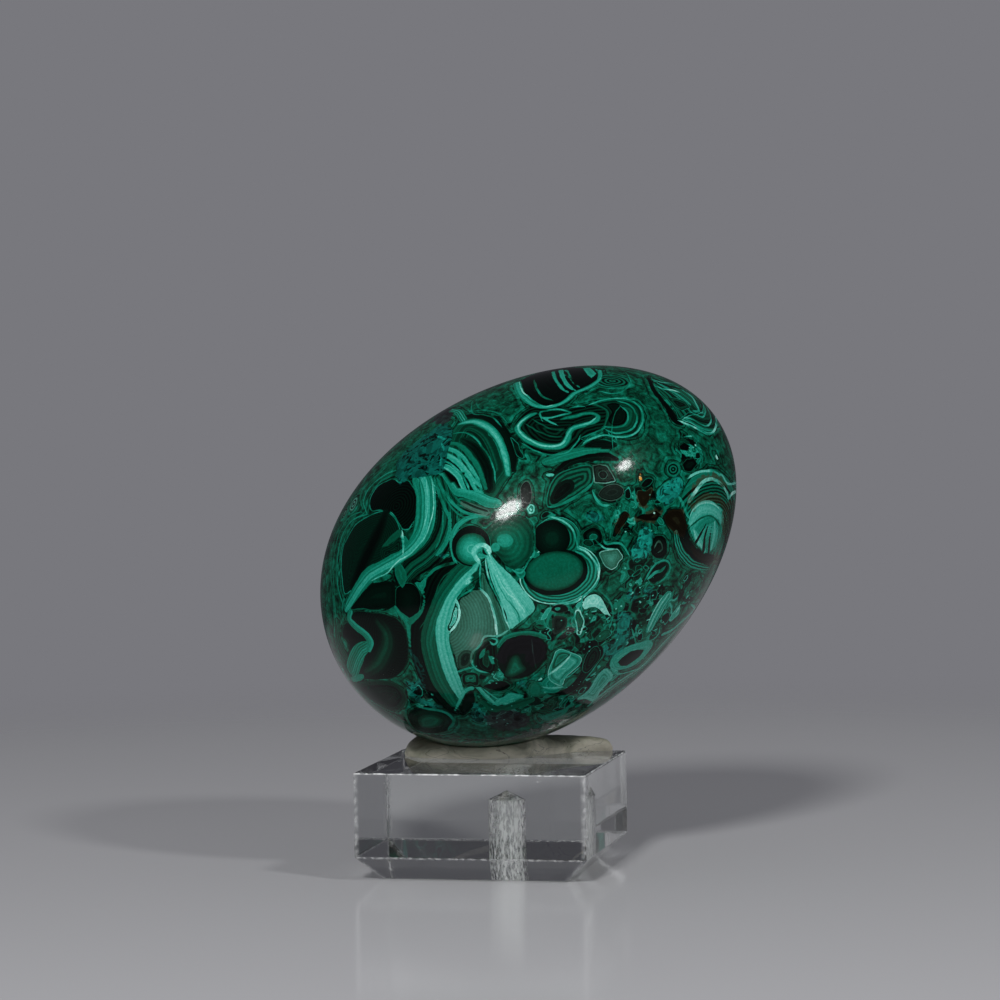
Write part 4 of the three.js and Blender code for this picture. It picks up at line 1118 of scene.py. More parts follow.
for fineness, weight in BAND_SIZES:
    finer = add(layer_group, "Math", count, fineness, operation="MULTIPLY")
    whole = add(layer_group, "Math", finer, operation="FLOOR")
    rest = add(layer_group, "Math", finer, operation="FRACT")
    following = add(layer_group, "Math", whole, 1.0, operation="ADD")
    this_band = add(layer_group, "TexWhiteNoise", {"W": whole}, noise_dimensions="1D", out="Value")
    next_band = add(layer_group, "TexWhiteNoise", {"W": following}, noise_dimensions="1D", out="Value")
    step = add(layer_group, "MapRange", rest, BAND_FLAT, 1.0, interpolation_type="SMOOTHSTEP")
    band = add(layer_group, "Mix", {0: step, 2: this_band, 3: next_band})
    swing = add(layer_group, "MapRange", band, 0.0, 1.0, -weight, weight)
    growth = swing if growth is None else add(layer_group, "Math", growth, swing, operation="ADD")
regular = add(layer_group, "Math", count, 2 * math.pi, operation="MULTIPLY")
regular = add(layer_group, "Math", regular, operation="SINE")
regular = add(layer_group, "MapRange", regular, -EVEN_FULL, EVEN_FULL, -1.0, 1.0,
              interpolation_type="SMOOTHSTEP")
growth = add(layer_group, "Mix", {0: given["Even"], 2: growth, 3: regular})
banded = add(layer_group, "Math", growth, given["Contrast"], given["Tone"], operation="MULTIPLY_ADD")
rim_start = add(layer_group, "Math", given["Rim width"], -1.0, operation="MULTIPLY")
rim_full = add(layer_group, "Math", rim_start, EDGE_BLUR, operation="ADD")
at_rim = add(layer_group, "MapRange", edge, rim_start, rim_full, interpolation_type="SMOOTHSTEP")
at_rim = add(layer_group, "Math", at_rim, given["Fade"], operation="MULTIPLY")
rimmed = add(layer_group, "Mix", {0: at_rim, 2: banded, 3: given["Rim"]})
tone_out = add(layer_group, "Mix", {0: inside, 2: given["Under"], 3: rimmed})
grey_out = add(layer_group, "Mix", {0: inside, 2: given["Under grey"], 3: given["Grey"]})
result = layer_group.nodes.new("NodeGroupOutput").inputs
layer_group.links.new(tone_out, result["Tone"])
layer_group.links.new(grey_out, result["Grey"])

# Malachite, ground and polished: it gives the eye a wet, glassy gloss over bands of green
# that run from nearly black to pale aqua, with seams of bluer and browner stone. The scale
# of a texture counts its features to the metre, here and in the other materials.
malachite, tree, shader = new_material("polished_malachite")
place = add(tree, "TexCoord", out="Object")
WOBBLE = 0.15  # millimetres by which chance moves the edges of shapes in and out
wobble = add(tree, "TexNoise", {"Vector": place, "Scale": 700.0, "Detail": 3.0}, out="Fac")
wobble = add(tree, "MapRange", wobble, 0.0, 1.0, -WOBBLE, WOBBLE)
fade = add(tree, "TexNoise", {"Vector": place, "Scale": 300.0, "Detail": 2.0}, out="Fac")
fade = add(tree, "MapRange", fade, 0.36, 0.58, 0.45)

# Ground mass: mossy green, with fine flow lines where it wraps the shapes
base = add(tree, "Attribute", attribute_name="ground", out="Vector")
base_parts = add(tree, "SeparateXYZ", base).node.outputs
away_from_shapes = base_parts[0]
drift = add(tree, "TexNoise", {"Vector": place, "Scale": 110.0, "Detail": 3.0}, out="Fac")
drift = add(tree, "MapRange", drift, 0.3, 0.7, -3.0, 3.0)
halo_count = add(tree, "Math", away_from_shapes, 3.4, drift, operation="MULTIPLY_ADD")
halo_strength = add(tree, "MapRange", away_from_shapes, 0.1, 1.8, 0.2, 0.07)
mottle = add(tree, "TexNoise", {"Vector": place, "Scale": 620.0, "Detail": 5.0, "Roughness": 0.7,
                                "Distortion": 0.6}, out="Fac")
mottle = add(tree, "MapRange", mottle, 0.3, 0.7, 0.06, 0.46)
ground = add(tree, "Group", node_tree=layer_group).node
for name, value in (("Under", 0.3), ("Distance", -1.0), ("Fade", 1.0)):
    ground.inputs[name].default_value = value
tree.links.new(mottle, ground.inputs["Tone"])
tree.links.new(halo_strength, ground.inputs["Contrast"])
tree.links.new(halo_count, ground.inputs["Bands"])
tree.links.new(wobble, ground.inputs["Wobble"])

# Where the stains and the broken zones lie, with ragged edges
stains = add(tree, "Attribute", attribute_name="stains").node.outputs
stain_parts = add(tree, "SeparateColor", stains["Color"]).node.outputs
ragged_noise = add(tree, "TexNoise", {"Vector": place, "Scale": 900.0, "Detail": 3.0}, out="Fac")
ragged = add(tree, "MapRange", ragged_noise, 0.3, 0.7, -0.4, 0.4)
stain_masks = []
for amount in (*stain_parts, stains["Alpha"]):
    torn = add(tree, "Math", amount, ragged, operation="ADD")
    stain_masks.append(add(tree, "MapRange", torn, 0.42, 0.58, interpolation_type="SMOOTHSTEP"))
teal_mask, brown_mask, purple_mask, broken_mask = stain_masks

# Breccia: coarse and fine angular fragments, each with its own lightness and bands that
# follow its edge
warp_noise = add(tree, "TexNoise", {"Vector": place, "Scale": 260.0, "Detail": 2.0}, out="Color")
warp = add(tree, "VectorMath", {0: warp_noise, "Scale": 0.0045}, operation="SCALE")
torn_place = add(tree, "VectorMath", {0: place, 1: warp}, operation="ADD")
broken_tone = None
for scale in (330.0, 760.0):
    cell = add(tree, "TexVoronoi", {"Vector": torn_place, "Scale": scale}, out="Color")
    rim_distance = add(tree, "TexVoronoi", {"Vector": torn_place, "Scale": scale},
                       feature="DISTANCE_TO_EDGE", out="Distance")
    dice = add(tree, "SeparateColor", cell).node.outputs
    away = add(tree, "Math", rim_distance, -1000.0 / scale, operation="MULTIPLY")
    rings = add(tree, "Math", away, 3.0, operation="MULTIPLY")
    rings = add(tree, "Math", dice[0], 91.0, rings, operation="MULTIPLY_ADD")
    tone = add(tree, "MapRange", dice[1], 0.0, 1.0, 0.0, 0.54)
    edge_tone = add(tree, "MapRange", dice[2], 0.0, 1.0, 0.05, 0.52)
    chips = add(tree, "Group", node_tree=layer_group).node
    for name, value in (("Under", 0.2), ("Contrast", 0.3), ("Rim width", 0.08)):
        chips.inputs[name].default_value = value
    for name, socket in (("Distance", away), ("Bands", rings), ("Tone", tone), ("Rim", edge_tone),
                         ("Wobble", wobble), ("Fade", fade)):
        tree.links.new(socket, chips.inputs[name])
    if broken_tone is None:
        broken_tone = chips.outputs["Tone"]
    else:
        which = add(tree, "TexNoise", {"Vector": place, "Scale": 240.0, "Detail": 1.0}, out="Fac")
        which = add(tree, "MapRange", which, 0.5, 0.54)
        broken_tone = add(tree, "Mix", {0: which, 2: broken_tone, 3: chips.outputs["Tone"]})
tone = add(tree, "Mix", {0: broken_mask, 2: ground.outputs["Tone"], 3: broken_tone})
grey = None

for number in range(1, LAYER_COUNT + 1):
    reach = add(tree, "Attribute", attribute_name=f"shape_{number}").node.outputs
    finish = add(tree, "Attribute", attribute_name=f"finish_{number}").node.outputs
    reach_parts = add(tree, "SeparateColor", reach["Color"]).node.outputs
    finish_parts = add(tree, "SeparateColor", finish["Color"]).node.outputs
    shape = add(tree, "Group", node_tree=layer_group).node
    for name, socket in (
            ("Under", tone), ("Distance", reach_parts[0]), ("Bands", reach_parts[1]),
            ("Tone", reach_parts[2]), ("Contrast", reach["Alpha"]), ("Rim", finish_parts[0]),
            ("Rim width", finish_parts[1]), ("Grey", finish_parts[2]), ("Even", finish["Alpha"]),
            ("Wobble", wobble), ("Fade", fade)):
        tree.links.new(socket, shape.inputs[name])
    if grey is not None:
        tree.links.new(grey, shape.inputs["Under grey"])
    tone, grey = shape.outputs["Tone"], shape.outputs["Grey"]

# Thin lines over everything, faded here and there
for number in range(1, LINE_SHEETS + 1):
    thin = add(tree, "Attribute", attribute_name=f"thin_lines_{number}", out="Vector")
    thin_parts = add(tree, "SeparateXYZ", thin).node.outputs
    aside = add(tree, "Math", thin_parts[0], wobble, operation="ADD")
    aside = add(tree, "Math", aside, operation="ABSOLUTE")
    past = add(tree, "Math", aside, thin_parts[1], operation="SUBTRACT")
    on_line = add(tree, "MapRange", past, 0.05, -0.03, interpolation_type="SMOOTHSTEP")
    on_line = add(tree, "Math", on_line, fade, operation="MULTIPLY")
    tone = add(tree, "Mix", {0: on_line, 2: tone, 3: thin_parts[2]})

# Fine mottling, then the greens
speck = add(tree, "TexNoise", {"Vector": place, "Scale": 2600.0, "Detail": 2.0, "Roughness": 0.7},
            out="Fac")
speck = add(tree, "MapRange", speck, 0.3, 0.7, 0.91, 1.09)
tone = add(tree, "Math", tone, speck, operation="MULTIPLY")
GREENS = ((0.0, "000302"), (0.1, "00120b"), (0.2, "012e1f"), (0.33, "03523c"), (0.46, "08745d"),
          (0.6, "1f957f"), (0.76, "55b7a5"), (0.9, "90d8c8"), (1.0, "bdeee2"))
greens = add(tree, "ValToRGB", tone).node
while len(greens.color_ramp.elements) < len(GREENS):
    greens.color_ramp.elements.new(0.5)
for element, (position, code) in zip(greens.color_ramp.elements, GREENS):
    element.position = position
    element.color = srgb(code)
greyed = add(tree, "HueSaturation", {"Color": greens.outputs["Color"], "Saturation": 0.42,
                                     "Value": 0.95}, out="Color")
colour = add(tree, "Mix", {0: grey, 6: greens.outputs["Color"], 7: greyed}, data_type="RGBA",
             out=2)

# Blue-green fillings are grains of chrysocolla with dark pits between them
grains = add(tree, "TexVoronoi", {"Vector": torn_place, "Scale": 1700.0}, out="Color")
grain_dice = add(tree, "SeparateColor", grains)
pits = add(tree, "MapRange", grain_dice, 0.14, 0.2, 0.15)
grain_light = add(tree, "MapRange", grain_dice, 0.0, 1.0, 0.35, 1.5)
grain_light = add(tree, "Math", grain_light, pits, operation="MULTIPLY")
bright = add(tree, "MapRange", tone, 0.0, 1.0, 0.12, 2.6)
grainy = add(tree, "Math", bright, grain_light, operation="MULTIPLY")
unstained = add(tree, "MapRange", tone, 0.55, 0.8, 1.0, 0.25)
for mask, code, strength, light in (
        (teal_mask, "08675b", 0.88, grainy), (brown_mask, "362611", 0.62, bright),
        (purple_mask, "252029", 0.8, bright)):
    tint = add(tree, "Mix", {0: 1.0, 6: srgb(code), 7: light}, data_type="RGBA",
               blend_type="MULTIPLY", out=2)
    amount = add(tree, "Math", mask, strength, operation="MULTIPLY")
    amount = add(tree, "Math", amount, unstained, operation="MULTIPLY")
    colour = add(tree, "Mix", {0: amount, 6: colour, 7: tint}, data_type="RGBA", out=2)
amber = add(tree, "MapRange", base_parts[1], 0.45, 0.6)
colour = add(tree, "Mix", {0: amber, 6: colour, 7: srgb("e09a3c")}, data_type="RGBA", out=2)
tree.links.new(colour, shader.inputs["Base Color"])

# Wax and fine scuffs leave parts of the polish duller and very slightly uneven
scuffs = add(tree, "TexNoise", {"Vector": place, "Scale": 2200.0, "Detail": 3.0}, out="Fac")
gloss = add(tree, "MapRange", scuffs, 0.5, 0.75, 0.07, 0.24)
tree.links.new(gloss, shader.inputs["Roughness"])
relief = add(tree, "Bump", {"Height": scuffs, "Strength": 1.0, "Distance": 9e-7}, out="Normal")
tree.links.new(relief, shader.inputs["Normal"])
shader.inputs["IOR"].default_value = 1.3
shader.inputs["Specular IOR Level"].default_value = 0.24
shader.inputs["Coat Weight"].default_value = 0.07
shader.inputs["Coat Roughness"].default_value = 0.3

egg_piece = add_piece(
    "malachite_egg", egg_points, *ring_faces(EGG_ROWS, EGG_COLUMNS), "egg", "polished_malachite", malachite)
ground_field = np.column_stack([outer_distance, patch_field[:, 4], np.zeros(len(egg_points))])
fields = {"ground": ground_field, "stains": patch_field[:, :4]}
for number, layer in enumerate(layers, start=1):
    fields[f"shape_{number}"] = layer["reach"]
    fields[f"finish_{number}"] = layer["finish"]
for number, sheet in enumerate(line_sheets, start=1):
    fields[f"thin_lines_{number}"] = sheet
for name, values in fields.items():
    kind, key = ("FLOAT_COLOR", "color") if values.shape[1] == 4 else ("FLOAT_VECTOR", "vector")
    stored = egg_piece.data.attributes.new(name, kind, "POINT")
    stored.data.foreach_set(key, values.astype(np.float32).ravel())
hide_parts("stone_egg")


# Mounting putty
# A strip of re-usable putty kneaded by hand, laid along under the egg and squeezed flat by
# its weight, so that it rolls out at the sides and climbs a little up the stone.
PUTTY_PLAN = np.array([  # along the strip, front foot, back foot and height there
    [-18.0, 1.6, 2.6, 1.2],
    [-17.0, -0.9, 4.6, 2.4],
    [-14.0, -3.0, 6.2, 3.2],
    [-8.0, -5.7, 7.2, 3.5],
    [-2.0, -6.6, 7.6, 3.5],
    [2.0, -5.2, 7.4, 3.3],
    [6.0, -1.9, 7.0, 2.95],
    [10.0, 1.3, 6.6, 2.8],
    [14.0, 2.8, 6.0, 2.5],
    [17.0, 3.7, 5.6, 2.0],
    [18.0, 4.3, 5.0, 1.0]])
PUTTY_SHIFT = (4.9, 0.8)  # from under the egg's lowest point to the plan's zero
PUTTY_FOOT = 0.55  # share of the side's roll that the block cuts off
PUTTY_SQUARENESS = 0.75  # cross-section: 1 is an ellipse, less is squarer
PUTTY_GAP = 0.08  # kept from the stone
PUTTY_SQUEEZE = 0.6  # how far it climbs where the stone is close above it
SQUEEZE_REACH = 1.1  # millimetres under the stone at which it climbs about a third of that
LUMPS_FULL = 1.2  # millimetres above the block from which its lumps have their full size
PUTTY_SIDES = 120
PUTTY_STATIONS = 220


def egg_underside(points):
    """Height of the egg's underside above points, found by halving the stretch in which the
    upright line through each one enters the egg; far up where it misses the egg."""
    def outside(heights):
        offset = np.stack([points[:, 0], points[:, 1], heights], axis=1) - egg_centre
        along = offset @ egg_axis / (EGG_LENGTH / 2)
        from_axis = np.linalg.norm(offset - np.outer(along * EGG_LENGTH / 2, egg_axis), axis=1)
        return (np.abs(along) > 1) | (from_axis > egg_radius(np.clip(along, -1, 1)))
    low = np.full(len(points), block_top)
    high = np.full(len(points), block_top + 8.0)
    misses = outside(high)
    for _ in range(24):
        middle = (low + high) / 2
        above = outside(middle)
        low = np.where(above, middle, low)
        high = np.where(above, high, middle)
    return np.where(misses, block_top + 50.0, high)


def lumpy(points, size, seed):
    """Smooth unevenness, mostly between -1 and 1: the sum of twelve sine waves in chance
    directions, about size from crest to crest, over 4.5."""
    chance = np.random.default_rng(seed)
    directions = chance.normal(size=(12, 3))
    directions /= np.linalg.norm(directions, axis=1)[:, None]
    waves = 2 * math.pi / (size * chance.uniform(0.7, 1.6, 12))
    shift = chance.uniform(0, 2 * math.pi, 12)
    return np.sin(points @ (directions * waves[:, None]).T + shift).sum(axis=1) / 4.5


# Cross-sections along the strip: each is a squarish ellipse whose lowest part the block
# cuts off flat, between the plan's front and back foot and as high as the plan says
plan = smooth_path(PUTTY_PLAN, closed=False, steps=12)
travel = np.append(0, np.cumsum(np.linalg.norm(np.diff(plan[:, :2], axis=0), axis=1)))
stations = (1 - np.cos(np.linspace(0, math.pi, PUTTY_STATIONS))) / 2 * travel[-1]
along, front, back, height = (np.interp(stations, travel, plan[:, k])[:, None] for k in range(4))
around = (np.arange(PUTTY_SIDES) / PUTTY_SIDES * 2 * math.pi)[None, :]
sideways = -np.sign(np.cos(around)) * np.abs(np.cos(around)) ** PUTTY_SQUARENESS
upward = np.clip((np.sin(around) + PUTTY_FOOT) / (1 + PUTTY_FOOT), 0, 1) ** 0.9
upward = upward[:, ::-1]
sideways = sideways[:, ::-1]
local_x = (along + 0 * around).ravel()
local_y = ((front + back) / 2 + (back - front) / 2 * sideways).ravel()
local_z = (height * upward).ravel()
tips = np.array([[along[0, 0] - 0.2, 2.1, 0.4], [along[-1, 0] + 0.2, 4.65, 0.35]])  # close the two ends
local_x = np.append(local_x, tips[:, 0])
local_y = np.append(local_y, tips[:, 1])
local_z = np.append(local_z, tips[:, 2])
local = np.stack([local_x, local_y, local_z], axis=1)
rising = np.clip(local_z / LUMPS_FULL, 0, 1)
local_y += 0.3 * lumpy(local, 6.0, 3)
local_z += rising * (0.18 * lumpy(local, 5.0, 4) + 0.05 * lumpy(local * [1.0, 2.0, 2.0], 2.2, 5))
local_x += PUTTY_SHIFT[0]
local_y += PUTTY_SHIFT[1]
putty_points = np.stack([
    EGG_LOWEST[0] + local_x * math.cos(EGG_TURN) - local_y * math.sin(EGG_TURN),
    EGG_LOWEST[1] + local_x * math.sin(EGG_TURN) + local_y * math.cos(EGG_TURN),
    block_top + local_z], axis=1)
stone = egg_underside(putty_points)
squeeze = np.exp(-((stone - putty_points[:, 2]) / SQUEEZE_REACH) ** 2)
putty_points[:, 2] += rising * PUTTY_SQUEEZE * squeeze
putty_points[:, 2] = np.clip(putty_points[:, 2], block_top, np.maximum(stone - PUTTY_GAP, block_top))

# Filled synthetic rubber, matt with a faint greasy sheen: it looks marbled, because old
# putty keeps grey, green and buff streaks from what it was kneaded with
putty_material, tree, shader = new_material("kneaded_putty")
place = add(tree, "TexCoord", out="Object")
stretch = add(tree, "Mapping", {"Vector": place, "Rotation": (0.0, 0.0, -EGG_TURN), "Scale": (0.3, 1.0,
    1.0)})
marble = add(tree, "TexNoise", {"Vector": stretch, "Scale": 300.0, "Detail": 4.0, "Roughness": 0.55,
                                "Distortion": 0.8}, out="Fac")
places = add(tree, "SeparateXYZ", place).node.outputs
# Painted light and shade: the strip's right end is made lighter, as if better lit, and the putty is lighter
# low down and darker the higher it rises, as a lit foot under the egg's shade.
painted_light_at_right_end = add(tree, "MapRange", places[0], -0.005, 0.016, 0.0, 0.16)
painted_light_by_height = add(tree, "MapRange", places[2], block_top * MILLIMETRE, (block_top + 3.4) * MILLIMETRE,
                 0.17, -0.17)
marble_and_painted_light = add(tree, "Math", marble, painted_light_by_height, operation="ADD")
marble_and_painted_light = add(tree, "Math", marble_and_painted_light, painted_light_at_right_end, operation="ADD")
PUTTY_COLOURS = ((0.3, "6d6a58"), (0.42, "8d8f7c"), (0.54, "b2b19c"), (0.66, "d0ccb8"), (0.78, "e4dfcd"))
shades = add(tree, "ValToRGB", marble_and_painted_light).node
while len(shades.color_ramp.elements) < len(PUTTY_COLOURS):
    shades.color_ramp.elements.new(0.5)
for element, (position, code) in zip(shades.color_ramp.elements, PUTTY_COLOURS):
    element.position = position
    element.color = srgb(code)
smudge = add(tree, "TexNoise", {"Vector": stretch, "Scale": 150.0, "Detail": 3.0}, out="Fac")
smudge = add(tree, "MapRange", smudge, 0.55, 0.68, 0.0, 0.35)
putty_colour = add(tree, "Mix", {0: smudge, 6: shades.outputs["Color"], 7: srgb("66583c")},
                   data_type="RGBA", out=2)
# Painted shade: thin dark lines along the ridges of a noise stand for the shade in the putty's creases.
painted_crease_shade = add(tree, "TexNoise", {"Vector": stretch, "Scale": 260.0, "Detail": 3.0, "Distortion": 1.4},
             out="Fac")
painted_crease_shade = add(tree, "Math", painted_crease_shade, 0.5, operation="SUBTRACT")
painted_crease_shade = add(tree, "Math", painted_crease_shade, operation="ABSOLUTE")
painted_crease_shade = add(tree, "MapRange", painted_crease_shade, 0.0, 0.012, 0.7, 0.0)
putty_colour = add(tree, "Mix", {0: painted_crease_shade, 6: putty_colour, 7: srgb("3a382c")}, data_type="RGBA", out=2)
tree.links.new(putty_colour, shader.inputs["Base Color"])
grain = add(tree, "TexNoise", {"Vector": place, "Scale": 1300.0, "Detail": 4.0}, out="Fac")
gloss = add(tree, "MapRange", marble, 0.0, 1.0, 0.36, 0.6)
tree.links.new(gloss, shader.inputs["Roughness"])
pressed = add(tree, "Bump", {"Height": grain, "Strength": 0.5, "Distance": 0.0003}, out="Normal")
tree.links.new(pressed, shader.inputs["Normal"])

putty_piece = add_piece(
    "putty_strip", putty_points, *ring_faces(PUTTY_STATIONS, PUTTY_SIDES), "putty",
    "mounting_putty", putty_material)
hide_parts("tack_putty")


# Acrylic block
# Cast acrylic, sawn, polished on all faces and bevelled along its four bottom edges, with a
# blind hole drilled up into it. Its edges are broken by polishing; the hole stays frosted.
BLOCK_WIDTH = 40
BLOCK_DEPTH = 36
BLOCK_HEIGHT = 18.4
BLOCK_BEVEL = 4
EDGE_BREAK = 0.26  # how far in from each edge the polished rounding starts
CORNER_RADIUS = 0.35
HOLE_RADIUS = 3.175
HOLE_CENTRE = (3.9, 0.0)
HOLE_SHOULDER = 12.7
HOLE_TIP = 14.3
HOLE_MOUTH = 0.25  # chamfer round its rim
HOLE_ROUGHNESS = 0.05  # depth of the drill's tearing
TIP_TEARING = 0.3  # share of that depth in the drill point
HOLE_ROWS = 70
TIP_ROWS = 10
CORNER_STEPS = 4
SIDE_STEPS = 60
EDGE_STEPS = 6
EDGE_ROUGHNESS = 0.025  # unevenness left in the edges by hand polishing

# The outline as inset from the full width and height above the floor, from the hole's rim
# outwards, up the side and in over the top; each corner is cut by a small curve
corners = np.array([
    [BLOCK_BEVEL, 0.0], [0.0, BLOCK_BEVEL], [0.0, BLOCK_HEIGHT]])
before = np.array([[BLOCK_BEVEL + 5, 0.0], [BLOCK_BEVEL, 0.0], [0.0, BLOCK_BEVEL]])
after = np.array([[0.0, BLOCK_BEVEL], [0.0, BLOCK_HEIGHT], [5.0, BLOCK_HEIGHT]])
into = (before - corners) / np.linalg.norm(before - corners, axis=1)[:, None]
out_of = (after - corners) / np.linalg.norm(after - corners, axis=1)[:, None]
share = np.linspace(0, 1, EDGE_STEPS)[None, :, None]
outline = corners[:, None] + EDGE_BREAK * ((1 - share) ** 2 * into[:, None] + share ** 2 * out_of[:, None])
outline = outline.reshape(-1, 2)

quarter = np.linspace(0, math.pi / 2, CORNER_STEPS)
turns = np.arange(4)[:, None] * math.pi / 2 + quarter[None]
corner_signs = np.array([[1, 1], [-1, 1], [-1, -1], [1, -1]])[:, None]
arc = np.stack([np.cos(turns), np.sin(turns)], axis=2) * CORNER_RADIUS


def block_ring(inset, height):
    """A level ring round the block: quarter circles at the corners, straight in between."""
    half = np.array([BLOCK_WIDTH / 2 - inset - CORNER_RADIUS, BLOCK_DEPTH / 2 - inset - CORNER_RADIUS])
    rounded = corner_signs * half + arc
    last = rounded[:, -1:]
    following = np.roll(rounded[:, :1], -1, axis=0)
    share = (np.arange(1, SIDE_STEPS + 1) / (SIDE_STEPS + 1))[None, :, None]
    straight = last + share * (following - last)
    ring = np.concatenate([rounded, straight], axis=1).reshape(-1, 2)
    return np.column_stack([ring, np.full(len(ring), height)])


outer_rings = [block_ring(inset, height) for inset, height in outline]
chance = np.random.default_rng(12)
for number, ring in enumerate(outer_rings):
    if 0 < number % EDGE_STEPS < EDGE_STEPS - 1:
        ring[:, :2] -= EDGE_ROUGHNESS * chance.random(len(ring))[:, None] * np.sign(ring[:, :2])
        ring[:, 2] += EDGE_ROUGHNESS * chance.normal(size=len(ring))
toward = outer_rings[0][:, :2] - HOLE_CENTRE
toward /= np.linalg.norm(toward, axis=1)[:, None]
wall_heights = np.linspace(HOLE_SHOULDER, HOLE_MOUTH, HOLE_ROWS)
hole_heights = np.concatenate([
    np.linspace(HOLE_TIP, HOLE_SHOULDER, TIP_ROWS + 2)[1:-1], wall_heights, [0.0]])
hole_radii = np.concatenate([
    HOLE_RADIUS * (HOLE_TIP - hole_heights[:TIP_ROWS]) / (HOLE_TIP - HOLE_SHOULDER),
    np.full(HOLE_ROWS, HOLE_RADIUS), [HOLE_RADIUS + HOLE_MOUTH]])
chance = np.random.default_rng(11)
tearing = HOLE_ROUGHNESS * chance.normal(size=(len(hole_heights), len(toward)))
tearing = (tearing + np.roll(tearing, 1, axis=0) + np.roll(tearing, 2, axis=0)) / 3
tearing[-1] = 0
tearing[:TIP_ROWS] *= TIP_TEARING
hole_rings = [
    np.column_stack([HOLE_CENTRE + toward * (radius + torn)[:, None], np.full(len(toward), height)])
    for radius, height, torn in zip(hole_radii, hole_heights, tearing)]
block_points = np.concatenate([
    *hole_rings, *outer_rings, [[*HOLE_CENTRE, HOLE_TIP]], [[0.0, 0.0, BLOCK_HEIGHT]]])
block_rows = len(hole_rings) + len(outer_rings)
block_columns = len(toward)
drilled = np.zeros(len(block_points))
drilled[:len(hole_rings) * block_columns] = 1
drilled[:TIP_ROWS * block_columns] = 0.5
drilled[-2] = 0.5
# Painted glints: the middle of each edge's rounding and the upright corners are made less clear, so they
# show whitish, for the lamps' glints along the edges and partly for chipped polish.
EDGE_GLINTS_AND_CHIPS = (0.2, 0.4, 0.8)  # bottom edge, bevel edge and top edge
CORNER_GLINTS_AND_CHIPS = 0.35
glints_and_chips = np.zeros((block_rows, block_columns))
on_corner = np.arange(block_columns) % (CORNER_STEPS + SIDE_STEPS) < CORNER_STEPS
glints_and_chips[len(hole_rings):, on_corner] = CORNER_GLINTS_AND_CHIPS
for number in range(len(outer_rings)):
    if 0 < number % EDGE_STEPS < EDGE_STEPS - 1:
        glints_and_chips[len(hole_rings) + number] = EDGE_GLINTS_AND_CHIPS[number // EDGE_STEPS]
glints_and_chips = np.append(glints_and_chips, [0, 0])

# Acrylic: clear as water, with whitish, beaded edges painted in as glints and partly as
# chipped polish, and cloudy white with upright streaks where the drill tore it
acrylic, tree, shader = new_material("clear_cast_acrylic")
place = add(tree, "TexCoord", out="Object")
torn_wall = add(tree, "Attribute", attribute_name="drilled", out="Fac")
upright = add(tree, "Mapping", {"Vector": place, "Scale": (1.0, 1.0, 0.3)})
streaks = add(tree, "TexNoise", {"Vector": upright, "Scale": 2600.0, "Detail": 3.0}, out="Fac")
lengthwise = add(tree, "Mapping", {"Vector": place, "Scale": (1.0, 1.0, 0.02)})
scores = add(tree, "TexNoise", {"Vector": lengthwise, "Scale": 700.0, "Detail": 2.0}, out="Fac")
scores = add(tree, "MapRange", scores, 0.35, 0.65, -0.12, 0.12)
scored = add(tree, "Math", streaks, scores, operation="ADD")
cloudy = add(tree, "MapRange", scored, 0.36, 0.62, 1.0, 0.3)
clearness = add(tree, "Mix", {0: torn_wall, 2: 1.0, 3: cloudy})
edge_glints_and_chips = add(tree, "Attribute", attribute_name="glints_and_chips", out="Fac")
glint_beads = add(tree, "TexNoise", {"Vector": place, "Scale": 1000.0, "Detail": 2.0}, out="Fac")
glint_beads = add(tree, "MapRange", glint_beads, 0.4, 0.62, 0.85, 0.1)
clearness = add(tree, "Mix", {0: edge_glints_and_chips, 2: clearness, 3: glint_beads})
tree.links.new(clearness, shader.inputs["Transmission Weight"])
frost = add(tree, "MapRange", streaks, 0.0, 1.0, 0.02, 0.3)
smears = add(tree, "TexNoise", {"Vector": place, "Scale": 90.0, "Detail": 4.0}, out="Fac")
smears = add(tree, "MapRange", smears, 0.5, 0.75, 0.0, 0.05)
polish = add(tree, "Mix", {0: torn_wall, 2: smears, 3: frost})
polish = add(tree, "Mix", {0: edge_glints_and_chips, 2: polish, 3: 0.3})
tree.links.new(polish, shader.inputs["Roughness"])
waves = add(tree, "TexNoise", {"Vector": place, "Scale": 80.0, "Detail": 1.0}, out="Fac")
waves = add(tree, "Bump", {"Height": waves, "Strength": 1.0, "Distance": 0.00004}, out="Normal")
tree.links.new(waves, shader.inputs["Normal"])
shader.inputs["Base Color"].default_value = srgb("f8faf9")
shader.inputs["IOR"].default_value = 1.49

block_piece = add_piece(
    "clear_block", block_points, *ring_faces(block_rows, block_columns), "block", "clear_acrylic", acrylic)
for name, values in (("drilled", drilled), ("glints_and_chips", glints_and_chips)):
    stored = block_piece.data.attributes.new(name, "FLOAT", "POINT")
    stored.data.foreach_set("value", values.astype(np.float32))
face_rows = np.arange(len(block_piece.data.polygons)) // block_columns
edge_rows = face_rows - len(hole_rings)
smooth_faces = (edge_rows < -1) | (edge_rows >= 0) & (edge_rows % EDGE_STEPS < EDGE_STEPS - 1) & (
    edge_rows < len(outer_rings) - 1)
block_piece.data.polygons.foreach_set("use_smooth", smooth_faces)
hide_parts("acrylic_block")


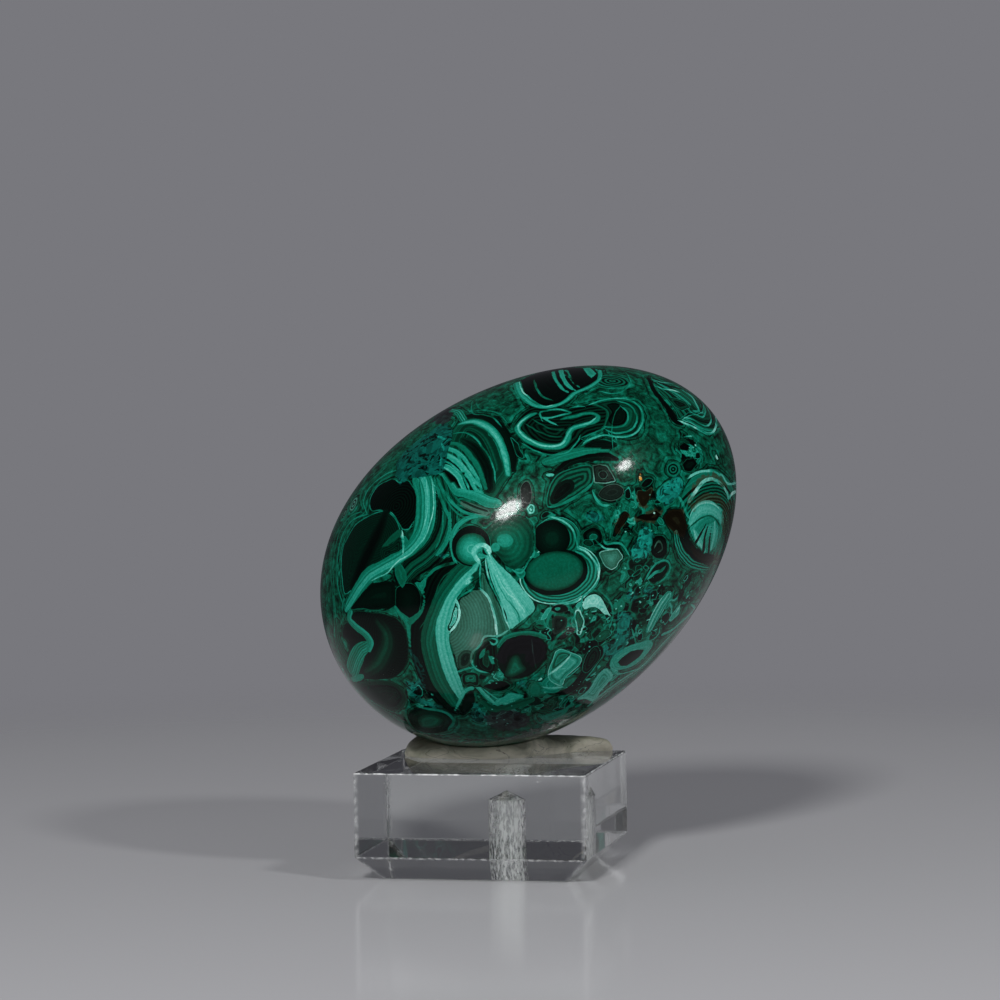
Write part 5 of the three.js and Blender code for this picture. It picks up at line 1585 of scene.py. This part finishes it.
# Floor, surround and lamps
# A plain pale table top that fades into a plain grey surround, and two soft lamps.
FLOOR_COLOUR = "d8d8da"
SURROUND_COLOUR = "78787d"
MIRRORED_COLOUR = "424247"  # what polished pieces mirror of the surround
FLOOR_DROP = 0.05  # millimetres under the block, so that their faces don't share a plane
FLOOR_FADE = (0.2, 0.34)  # metres from the middle
bpy.ops.mesh.primitive_plane_add(size=1.0, location=(0, 0, -FLOOR_DROP * MILLIMETRE))
floor = bpy.context.object
floor.name = "table_top"
floor_material, tree, shader = new_material("pale_table_top")
place = add(tree, "TexCoord", out="Object")
from_middle = add(tree, "VectorMath", {0: place}, operation="LENGTH", out="Value")
there = add(tree, "MapRange", from_middle, FLOOR_FADE[1], FLOOR_FADE[0], interpolation_type="SMOOTHSTEP")
tree.links.new(there, shader.inputs["Alpha"])
shader.inputs["Base Color"].default_value = srgb(FLOOR_COLOUR)
shader.inputs["Roughness"].default_value = 0.12
floor.data.materials.append(floor_material)

world = bpy.data.worlds.new("surround")
bpy.context.scene.world = world
world.use_nodes = True
backdrop = world.node_tree.nodes["Background"]
mirrored = add(world.node_tree, "LightPath", out="Is Glossy Ray")
seen = add(world.node_tree, "Mix", {0: mirrored, 6: srgb(SURROUND_COLOUR), 7: srgb(MIRRORED_COLOUR)},
           data_type="RGBA", out=2)
world.node_tree.links.new(seen, backdrop.inputs["Color"])


def add_lamp(name, pixel, distance, size, power):
    """A round lamp placed so that the egg mirrors it to the camera at a pixel of the view. Its
    distance and size are in millimetres, its power in watts."""
    spot = on_front(pixel)[0]
    normal = egg_normals[np.argmin(((egg_points - spot) ** 2).sum(axis=1))]
    sight = (camera_place - spot) / np.linalg.norm(camera_place - spot)
    mirrored = 2 * (sight @ normal) * normal - sight
    lamp = bpy.data.objects.new(name, bpy.data.lights.new(name, "AREA"))
    lamp.data.shape = "DISK"
    lamp.data.size = size * MILLIMETRE
    lamp.data.energy = power
    lamp.location = Vector((spot + distance * mirrored) * MILLIMETRE)
    lamp.rotation_euler = Vector(mirrored).to_track_quat("Z", "Y").to_euler()
    bpy.context.scene.collection.objects.link(lamp)


KEY_HIGHLIGHT = (507, 510)  # pixels of the view, as the next one is
SECOND_HIGHLIGHT = (624, 465)
add_lamp("key_lamp", KEY_HIGHLIGHT, 1200, 200, 9.0)
add_lamp("second_lamp", SECOND_HIGHLIGHT, 1200, 130, 3.6)

bpy.context.scene.view_settings.view_transform = "Standard"
